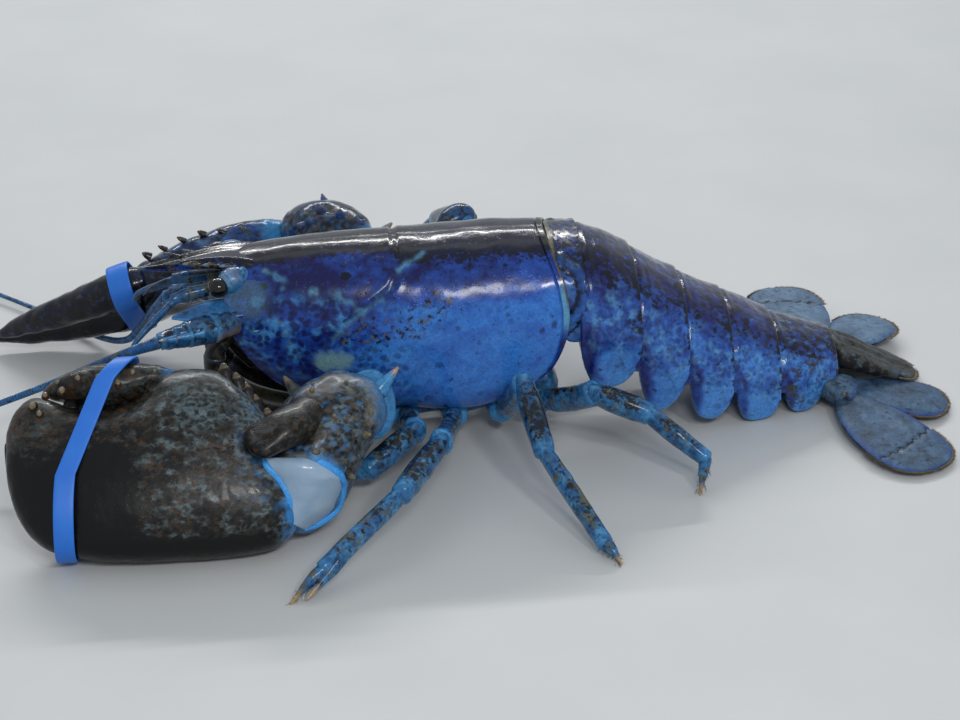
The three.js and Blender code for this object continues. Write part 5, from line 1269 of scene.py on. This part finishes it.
for number, (name, stops) in enumerate(LEGS.items()):
    word, pair = name.split("_")
    hip, knee, wrist, ankle, tip = (np.array(at, float) for at in stops)
    seed = 100 + 10 * number
    far_side = word == "right"
    start, end = (hip + (knee - hip) * share for share in THIGH_SPAN)
    thigh = leg_segment(start, end, THIGH_SIZES, seed, patch=0.3 + 0.4 * far_side, sag=1.2)
    build_piece(f"{name}_thigh", [thigh], limb_chitin, "leg_shell", f"{word}_leg_{pair}_upper")

    pinching = name in PINCHING_LEGS
    hand = PINCHING_HAND if pinching else PLAIN_HAND
    shin_sizes = [(2.6, 2.8), (3, 3.5), (3, 3.6), (2.9, hand), (2.8, hand * 0.94)]
    forms = [leg_segment(knee - (wrist - knee) * KNEE_LAP, wrist, KNEE_SIZES, seed + 3,
                         patch=0.5 + 0.3 * far_side),
             leg_segment(wrist - (ankle - wrist) * SHIN_LAP, ankle, shin_sizes, seed + 5, patch=0.25),
             leg_segment(ankle, tip + (0, 0, 0.3), TOE_SIZES, seed + 7, patch=0.1, tip=1.0, sag=-0.8)]
    if name == "right_3":
        rings, t, angle = tube(SWOLLEN_KNEE, along=30, around=40, power=2, caps=(1, 1))
        forms.append(skin(rings, tone=0.15, dark=0.36, warm=0.4 * smooth(0.5, 0.2, t), net=0.15))
    if pinching:
        # the fixed toe of the pincer lies beside the moving one
        outside = np.cross((0, 0, 1), ankle - wrist)
        outside = outside / np.linalg.norm(outside) * TOE_SPACING
        fixed = ankle + (tip - ankle) * FIXED_TOE_SHARE + outside
        fixed[2] = max(fixed[2], 1)
        root = wrist + (ankle - wrist) * 0.82 + outside * 0.5
        forms.append(leg_segment(root, fixed, FIXED_TOE_SIZES, seed + 9, patch=0.1, tip=1.0))
    random = np.random.default_rng(seed)
    share = random.uniform(0, 0.9, TOE_HAIRS)[:, None]
    roots = ankle + (tip - ankle) * share + random.normal(0, 0.5, (TOE_HAIRS, 3))
    spread = random.normal(0, 1, (TOE_HAIRS, 3))
    spread /= np.linalg.norm(spread, axis=1)[:, None]
    roots = roots + spread * (1.8 * (1 - share * 0.7))
    tips = roots + spread * 1.3 + (tip - ankle) / np.linalg.norm(tip - ankle) * 1.2
    for ends in (roots, tips):
        ends[:, 2] = np.maximum(ends[:, 2], HAIR_CLEARANCE)
    forms.append(bristles(roots, tips, TOE_HAIR_RADIUS, warm=0.9))
    build_piece(f"{name}_shin_and_foot", forms, limb_chitin, "leg_shell", f"{word}_leg_{pair}_lower")


# Underside of the thorax
# A narrow jointed breastplate between the legs, with the ring-like hip of each limb.
def hip_joint(at, radius, seed):
    """The short ring that carries a limb."""
    x, y, z = at
    side = np.sign(y)
    stations = [(x, side * 4, z - 1, radius, radius * 0.9), (x, side * 9, z - 0.8, radius * 1.05, radius),
                (x, side * 13.5, z - 0.4, radius, radius * 0.95), (x, y, z, radius * 0.9, radius * 0.88)]
    rings, t, _ = tube(stations, along=26, around=28)
    edge = smooth(0.8, 0.95, t)
    rings = raised(rings, 0.15 * ripple(rings, 4, seed) + 0.3 * edge)
    return skin(rings, tone=0.65, dark=0.15, net=0.35, rim=0.5 * edge)


KEEL = [(-90, 0, 15, 8, 6), (-72, 0, 12, 10, 5.5), (-30, 0, 11.5, 10.5, 5.5), (1, 0, 15, 9, 7)]
KEEL_PLATES = 6
LEG_HIP_RADIUS = 5
CLAW_HIP_RADIUS = 6.6
keel_rings, t, angle = tube(KEEL, along=120, around=48, power=3)
plates = 0.5 * np.cos(t * TURN * KEEL_PLATES) * smooth(0.2, -0.5, np.sin(angle))
keel_rings = raised(keel_rings, plates)
forms = [skin(keel_rings, tone=0.6, dark=0.15, net=0.4)]
forms += [hip_joint(stops[0], LEG_HIP_RADIUS, 200 + k) for k, stops in enumerate(LEGS.values())]
forms += [hip_joint(CLAW_HIP[side], CLAW_HIP_RADIUS, 220 + side) for side in (-1, 1)]
build_piece("breastplate", forms, limb_chitin, "belly", "thorax_underside")


# Abdomen
# Six arched rings, each sliding under the one before it, with rounded side plates that hang down
# over the paddles of the belly. Their rear edges are smooth and a little proud.
RING_EDGES = [1.4, 13, 33, 51, 68, 86.5, 110]
BACK_LINE = [(0, 75.2), (13, 74.2), (23, 69.8), (33, 63.4), (43, 56.2), (60, 46), (77, 37.6), (90, 29.6),
             (111, 22.6)]
# half is the half width at both edges of a ring, tip and tip_x the height and place of its side
# plate's point, plate that plate's half length, and front and rear how squarely its edges run down.
RINGS = [
    {"half": (25, 26.6), "tip": 40, "tip_x": 9, "plate": 6, "front": 2.6, "rear": 2.6},
    {"half": (28.6, 28.6), "tip": 22, "tip_x": 22, "plate": 11, "front": 2.6, "rear": 2.4},
    {"half": (28.2, 27.6), "tip": 10, "tip_x": 41.5, "plate": 9, "front": 2.2, "rear": 1.6},
    {"half": (27, 26), "tip": 3.6, "tip_x": 60.5, "plate": 8.8, "front": 2.4, "rear": 1.7},
    {"half": (25, 23.4), "tip": 0.15, "tip_x": 78.4, "plate": 8.8, "front": 2.6, "rear": 3},
    {"half": (22, 16), "tip": 0.15, "tip_x": 96.4, "plate": 7.6, "front": 2.6, "rear": 2},
]
PLATE_ROUNDING = 0.62
RING_SQUARENESS = 2.3
PLATE_FOLD = 4.4
# shares of a ring's height down to its shoulder and up to its belly, and of its half width out to
# its side plates
SHOULDER_DROP = 0.56
BELLY_SHARE = 0.34
PLATE_SHARE = 0.93
LAP = 2.2
RING_GAP = 0.3
SWAY = 0.07
RING_CLEARANCE = 0.1
PADDLE_HAIRS = 60
PADDLE_HAIR_RADIUS = 0.08
PADDLE_CLEARANCE = 0.3
# the points of each ring of a paddle that lie at its two edges
PADDLE_EDGES = [0, 1, 13, 14, 15, 27]
# the hooked lobe at the side of the first ring, and the crest of each wide side plate
HOOK = [(4.6, 15.5, 71.6), (5.3, 17.5, 70.3), (9.4, 19.6, 68.7), (12.1, 23.1, 65.5), (12.3, 25, 60.5),
        (11.2, 26.2, 55.3), (7.7, 24.8, 50.8), (5.5, 24, 47)]
PLATE_CREST = [(-6, 0.62), (-2, 0.5), (2.5, 0.36), (5, 0.16)]

abdomen_chitin = shell_material("wet_blue_tail_chitin", {
    "deep": "#181f60", "mid": "#28509c", "bright": "#447ec8", "ink": "#121548", "pale": "#66a8cc",
    "dark": "#0c0b0f", "warm": "#38352a", "rim": "#4f9ad4", "cream": "#6d6850",
}, spot_mm=1.3, cell_mm=2.0, speck_mm=1.5)


def back_height(x):
    """The height of the ridge of the tail at x."""
    return np.interp(x, [p[0] for p in BACK_LINE], [p[1] for p in BACK_LINE])


def belly_middle(x):
    """How far the tail's midline has swayed to the right at x."""
    return np.maximum(0, np.asarray(x, float) - 15) * SWAY


def ring_rings(index, along=64, around=170):
    """Sections of a ring: over the back, down the side plate, round its edge and across the belly."""
    ring = RINGS[index]
    first = index == 0
    start = RING_EDGES[index] - (0.2 if first else LAP)
    end = RING_EDGES[index + 1] - RING_GAP
    share = np.linspace(0, 1, along + 1)
    places = start + (end - start) * (share + 0.04 * np.sin(TURN * share))
    # the front edge slides under the ring before, and the rear edge stands a little proud
    proud = (-0.4 if first else -1.3) * smooth(0.16, 0.02, share)
    proud = proud - 0.15 * hump(share, 0.24, 0.05) + 0.3 * smooth(0.85, 0.97, share)
    rings, levels = [], []
    for x, up in zip(places, proud):
        real = np.clip((x - RING_EDGES[index]) / (RING_EDGES[index + 1] - RING_EDGES[index]), 0, 1)
        width = ring["half"][0] + (ring["half"][1] - ring["half"][0]) * real ** 2 + 0.5 * up
        top = back_height(x) + up
        shoulder = top - (top - ring["tip"]) * SHOULDER_DROP
        squareness = ring["front"] if x < ring["tip_x"] else ring["rear"]
        reach = max(0, 1 - (abs(x - ring["tip_x"]) / ring["plate"]) ** squareness) ** PLATE_ROUNDING
        belly = ring["tip"] + (top - ring["tip"]) * BELLY_SHARE
        edge = belly - 1 + (ring["tip"] - belly + 1) * reach
        across, over = oval(np.linspace(0, np.pi, 61), RING_SQUARENESS)
        arch = np.stack([across * width, shoulder + np.abs(over) * (top - shoulder)], 1)
        outer = width * PLATE_SHARE
        inner = outer - PLATE_FOLD
        side = [(-width * 0.99, edge + (shoulder - edge) * 0.72), (-outer, edge + (shoulder - edge) * 0.25),
                (-outer + 0.4, edge + 1.0), (-outer + 1.6, edge), (-inner, edge + 0.6),
                (-inner + 0.8, edge + (belly - edge) * 0.5), (-inner + 1, belly)]
        loop = np.concatenate([arch, side, [(0, belly + 1)], [(-a, b) for a, b in side[::-1]]])
        closed = np.concatenate([loop, loop[:1]])
        run = np.concatenate([[0], np.cumsum(np.linalg.norm(np.diff(closed, axis=0), axis=1))])
        at = np.linspace(0, run[-1], around, endpoint=False)
        yz = np.stack([np.interp(at, run, closed[:, k]) for k in (0, 1)], 1)
        for _ in range(2):
            yz = 0.5 * yz + 0.25 * (np.roll(yz, 1, 0) + np.roll(yz, -1, 0))
        above = np.maximum(yz[:, 1], RING_CLEARANCE)
        rings.append(np.column_stack([np.full(around, x), yz[:, 0] + belly_middle(x), above]))
        levels.append((yz[:, 1] - edge) / max(top - edge, 1))
    return np.array(rings), share[:, None], np.array(levels)


def paddle(index, side, seed):
    """A swimmeret: a thin two-lobed paddle with a hair fringe, hanging from the belly."""
    ring = RINGS[index]
    top = ring["tip"] + (back_height(ring["tip_x"]) - ring["tip"]) * 0.36
    y = belly_middle(ring["tip_x"]) + side * ring["half"][0] * 0.42
    low = max(ring["tip"] + 1.5, 2)
    x = ring["tip_x"]
    stations = [(x - 3, y, top + 3, 3.6, 1.6), (x - 1, y, top + (low - top) * 0.35, 4.8, 1.2),
                (x + 3, y, top + (low - top) * 0.8, 4, 0.9), (x + 5, y, low, 1.2, 0.5)]
    rings, t, _ = tube(stations, along=30, around=28, up=(1, 0, 0))
    random = np.random.default_rng(seed)
    level = random.integers(len(t) // 2, len(t) - 2, PADDLE_HAIRS)
    roots = rings[level, random.choice(PADDLE_EDGES, PADDLE_HAIRS)]
    tips = roots + (roots - rings.mean(1)[level]) * 0.5 + (1.0, 0, -1.2)
    tips[:, 2] = np.maximum(tips[:, 2], PADDLE_CLEARANCE)
    hairs = bristles(roots, tips, PADDLE_HAIR_RADIUS, warm=0.8)
    return [skin(rings, tone=0.6, dark=0.15, net=0.3), hairs]


for index, ring in enumerate(RINGS):
    first, last = index == 0, index == len(RINGS) - 1
    rings, share, level = ring_rings(index)
    sway = belly_middle(rings[..., 0])
    mirrored = np.stack([rings[..., 0], np.abs(rings[..., 1] - sway), rings[..., 2]], -1)
    ahead_of_tip = (ring["tip_x"] - rings[..., 0]) / ring["plate"]
    plate = smooth(0.46, 0.28, level)
    lift = 0.1 * ripple(rings, 10, 300 + index) + 0.04 * ripple(rings, 3, 310 + index)
    if first:
        hook, _ = line_distance(mirrored, HOOK)
        lift = lift + 0.8 * hump(hook, 0, 1.5) - 0.3 * hump(hook, 3.2, 1.2)
    elif not last:
        crest_x, crest_level = np.array(PLATE_CREST).T
        crest = np.interp(rings[..., 0], ring["tip_x"] + crest_x, crest_level)
        lift = lift + 0.6 * hump(level, crest, 0.05) * smooth(0.7, 0.5, level)
        lift = lift + 0.5 * hump(ahead_of_tip, 0.6, 0.16) * smooth(0.56, 0.42, level)
    rings = raised(rings, lift)
    rings[..., 2] = np.maximum(rings[..., 2], RING_CLEARANCE)

    # black over the back and along the rear edge, deep indigo at the front of each side plate
    back = smooth(0.7, 0.93, level)
    edge = smooth(0.1, 0.02, level)
    rear = smooth(0.93, 0.98, share)
    ahead_of_tip = (ring["tip_x"] - rings[..., 0]) / ring["plate"]
    front_margin = smooth(0.3, 0.75, ahead_of_tip) * smooth(0.56, 0.42, level)
    tone = 0.36 + 0.34 * plate - 0.28 * back + 0.1 * ripple(rings, 12, 320 + index) - 0.75 * front_margin
    tone = tone + 0.08 * index * (1 - back)
    dark = 0.1 + (0.4 + 0.16 * (index < 2)) * back - 0.04 * plate + 0.4 * rear
    if first:
        tan = smooth(0.14, 0.08, share) * smooth(0.4, 0.6, level)
        # painted highlight: the azure rim laid along the crest of the hook
        marks = {"net": 0.3, "warm": 0.2 * back, "cream": 0.8 * tan, "rim": 0.12 * hump(hook, 0, 1.6)}
        tone = tone - 0.05
        dark = np.maximum(dark, 0.85 * hump(hook, 2.6, 1.1) * (level < 0.9))
    else:
        marks = {"net": 0.5 * smooth(0.24, 0.4, level) * smooth(0.95, 0.7, level),
                 "warm": 0.2 * back + 0.25 * rear * back,
                 "rim": 0.3 * edge + 0.2 * plate * smooth(0.3, 0.6, share) * smooth(0.95, 0.8, share)}
    if index == 1:
        dark = dark + 0.25 * smooth(0.5, 0.95, share) * smooth(0.4, 0.5, level) * smooth(0.75, 0.6, level)
    if last:
        marks["net"] = 0.5
        marks["warm"] = 0.3
        dark = dark + 0.05
    forms = [skin(rings, tone=tone, dark=dark, **marks)]
    if not (first or last):
        for side in (-1, 1):
            forms += paddle(index, side, 330 + 2 * index + side)
    build_piece(f"abdomen_ring_{index + 1}", forms, abdomen_chitin, "shell", f"abdomen_{index + 1}")


# Tail fan
# A middle plate and two pairs of side plates spread flat behind the last ring. They are thin
# shell with a short fringe of stiff brown hair, and the outer pair is hinged across.
FAN_YAW = np.radians(8.2)
TELSON_ROOT = (110.3, 7.3)
fan_chitin = shell_material("slate_blue_fan_chitin", {
    "deep": "#172230", "mid": "#3a5672", "bright": "#587690", "ink": "#1a2a40", "pale": "#6f8a9c",
    "dark": "#0f0f10", "warm": "#3c3b33", "rim": "#24468a", "cream": "#8c8468",
}, spot_mm=1.2, cell_mm=3.2, speck_mm=1.6, roughness=0.5, coat=0.05)

# Setae: fine stiff hairs of brown chitin, their tint drifting from lighter to darker along the edge.
fringe_hair = two_tint_material("brown_setae", ("#2c2318", "#6e5a38"), 4, 2.0, {"Roughness": 0.45})

FAN = {
    -1: {"root": (105.5, -8.5, 9), "knuckle": (114.5, -12, 7),
         "inner": {"start": (115, -6.5, 6), "heading": -15, "length": 36, "half": 12.5, "tip": 1.8},
         "outer": {"start": (111.5, -14.5, 5.6), "heading": -64.5, "length": 51.5, "half": 15, "tip": 2}},
    1: {"root": (107, 19, 9), "knuckle": (111.5, 25, 8.4),
        "inner": {"start": (113.5, 23, 7.6), "heading": 44, "length": 37, "half": 12, "tip": 5},
        "outer": {"start": (108.5, 28.5, 8), "heading": 97, "length": 47, "half": 14.4, "tip": 7.5}},
}
BLADE_PROFILE = [0.34, 0.7, 0.92, 1, 0.98, 0.82, 0.5, 0.12]
BLADE_THICKNESS = [2.6, 2.1, 1.6, 1.35, 1.2, 1, 0.8, 0.5]
HINGE_SHARE = 0.7
HINGE_TEETH = 8
FRINGE_MM = 1.5
FRINGE_RADIUS = 0.12
TELSON_HAIRS = 1300
BLADE_HAIRS = 1500
FRINGE_CLEARANCE = 0.25


def fringe(rings, first_share, seed, count):
    """Hair round the free edge of a plate, from a share of its length on."""
    random = np.random.default_rng(seed)
    rows, columns = rings.shape[:2]
    free = rings[int(rows * first_share):rows - 1]
    edge = np.concatenate([free[:, 0], free[::-1, columns // 2]])
    at = random.uniform(0, len(edge) - 1.001, count)
    low = at.astype(int)
    roots = edge[low] + (edge[low + 1] - edge[low]) * (at - low)[:, None]
    away = roots - rings[rows // 2].mean(0)
    away[:, 2] = 0
    away /= np.linalg.norm(away, axis=1)[:, None]
    turned = away + random.normal(0, 0.22, away.shape) * (1, 1, 0.5)
    tips = roots + turned * (FRINGE_MM * random.uniform(0.6, 1.0, count))[:, None]
    tips[:, 2] = np.maximum(tips[:, 2], FRINGE_CLEARANCE)
    return bristles(roots - away * 0.6, tips, FRINGE_RADIUS)


def plate_rings(stations, ribs=0.07):
    """A flat plate, and the relief of its middle rib, the grooves beside it and two outer ribs."""
    rings, t, angle = tube(stations, along=110, around=84, power=2.6, caps=(0.6, 0.8))
    top = smooth(0.0, 0.3, np.sin(angle))
    out = np.abs(np.cos(angle))
    relief = ribs * (hump(out, 0, 0.07) - 0.6 * hump(out, 0.17, 0.06) + 0.3 * hump(out, 0.4, 0.05))
    return rings, t, angle, top * relief * smooth(0.02, 0.12, t) * smooth(1.0, 0.8, t)


def blade_stations(start, heading, length, half, tip):
    """The stations of a side plate from its start, heading, length, half width and tip height."""
    turn = np.radians(heading)
    listed = []
    for k, (share, thick) in enumerate(zip(BLADE_PROFILE, BLADE_THICKNESS)):
        reach = length * np.sin(k / (len(BLADE_PROFILE) - 1) * np.pi / 2) ** 1.15
        listed.append((start[0] + reach * np.cos(turn), start[1] + reach * np.sin(turn),
                       start[2] + (tip - start[2]) * reach / length, half * share, thick))
    return listed


# how far back, how high, half width and half thickness
TELSON = [(0, 16.4, 12.5, 4.8), (7, 13.6, 13.6, 4.2), (16, 9.4, 13.2, 3),
          (25, 5.4, 11.8, 1.9), (31, 3, 8.4, 1.2), (34, 2.2, 3, 0.7)]
telson_x, telson_y = TELSON_ROOT
stations = [(telson_x + back * np.cos(FAN_YAW), telson_y + back * np.sin(FAN_YAW), *sizes)
            for back, *sizes in TELSON]
rings, t, angle, relief = plate_rings(stations, ribs=0.8)
rings = raised(rings, relief + 0.12 * ripple(rings, 6, 400))
margin = smooth(0.85, 1.0, np.abs(np.cos(angle)))
form = skin(rings, tone=0.5 + 0.15 * ripple(rings, 7, 402), warm=0.8, net=0.2,
            dark=0.25 + 0.2 * smooth(0.5, 0.1, t) + 0.35 * margin)
build_piece("telson_plate", [form], fan_chitin, "fan_shell", "telson")
fringes = [fringe(rings, 0.55, 401, TELSON_HAIRS)]

for side, word in ((-1, "left"), (1, "right")):
    fan = FAN[side]
    root, knuckle = np.array(fan["root"]), np.array(fan["knuckle"])
    middle = root + 0.6 * (knuckle - root)
    stem = [(*root, 5.4, 4.6), (*middle, 7.4, 4.8), (*knuckle, 7.8, 3.6)]
    rings, t, _ = tube(stem, along=30, around=40)
    rings = raised(rings, 0.2 * ripple(rings, 4, 410 + side))
    form = skin(rings, tone=0.5, dark=0.3, warm=0.3, rim=0.3 * smooth(0.8, 1, t), net=0.3)
    build_piece(f"{word}_uropod_stem", [form], fan_chitin, "fan_shell", f"{word}_uropod_base")
    for part, seed in (("inner", 420), ("outer", 430)):
        blade = fan[part]
        nodes = [f"{word}_uropod_{part}"]
        rings, t, angle, relief = plate_rings(blade_stations(**blade))
        rings = raised(rings, relief + 0.04 * ripple(rings, 9, seed + side))
        crease = 0
        if part == "outer":
            # a saw-toothed hinge crosses the outer blade, whose far part is its own solid
            nodes.append(f"{word}_uropod_outer_tip")
            turn = np.radians(blade["heading"])
            from_start = rings[..., :2] - np.array(blade["start"][:2])
            along = from_start @ (np.cos(turn), np.sin(turn))
            across = from_start @ (-np.sin(turn), np.cos(turn)) / (1.3 * blade["half"])
            saw = np.abs(((across + 1) * (HINGE_TEETH + 1)) % 2 - 1) * 1.8 - 0.9
            bowed = HINGE_SHARE * blade["length"] - 3.2 * across ** 2 + side * 5 * across
            crease = hump(along - bowed - saw, 0, 0.6)
            rings = raised(rings, -0.5 * crease)
        margin = smooth(0.72, 0.93, np.abs(np.cos(angle))) * smooth(0.1, 0.3, t)
        margin = np.maximum(margin, smooth(0.9, 0.97, t))
        outline = smooth(0.975, 1.0, np.abs(np.cos(angle)))
        # painted sheen: the far pair of blades is painted paler than the near pair
        tone = 0.42 + 0.4 * (side > 0) + 0.1 * ripple(rings, 9, seed + 5)
        form = skin(rings, tone=tone, dark=0.12 + 0.85 * crease + 0.6 * outline, warm=0.12, net=0.1,
                    rim=(0.6 if side < 0 else 0.25) * margin * (1 - outline))
        build_piece(f"{word}_uropod_{part}_blade", [form], fan_chitin, "fan_shell", *nodes)
        fringes.append(fringe(rings, 0.45, seed + 7 + side, BLADE_HAIRS))
build_piece("tail_fringe", fringes, fringe_hair, "fan_shell")
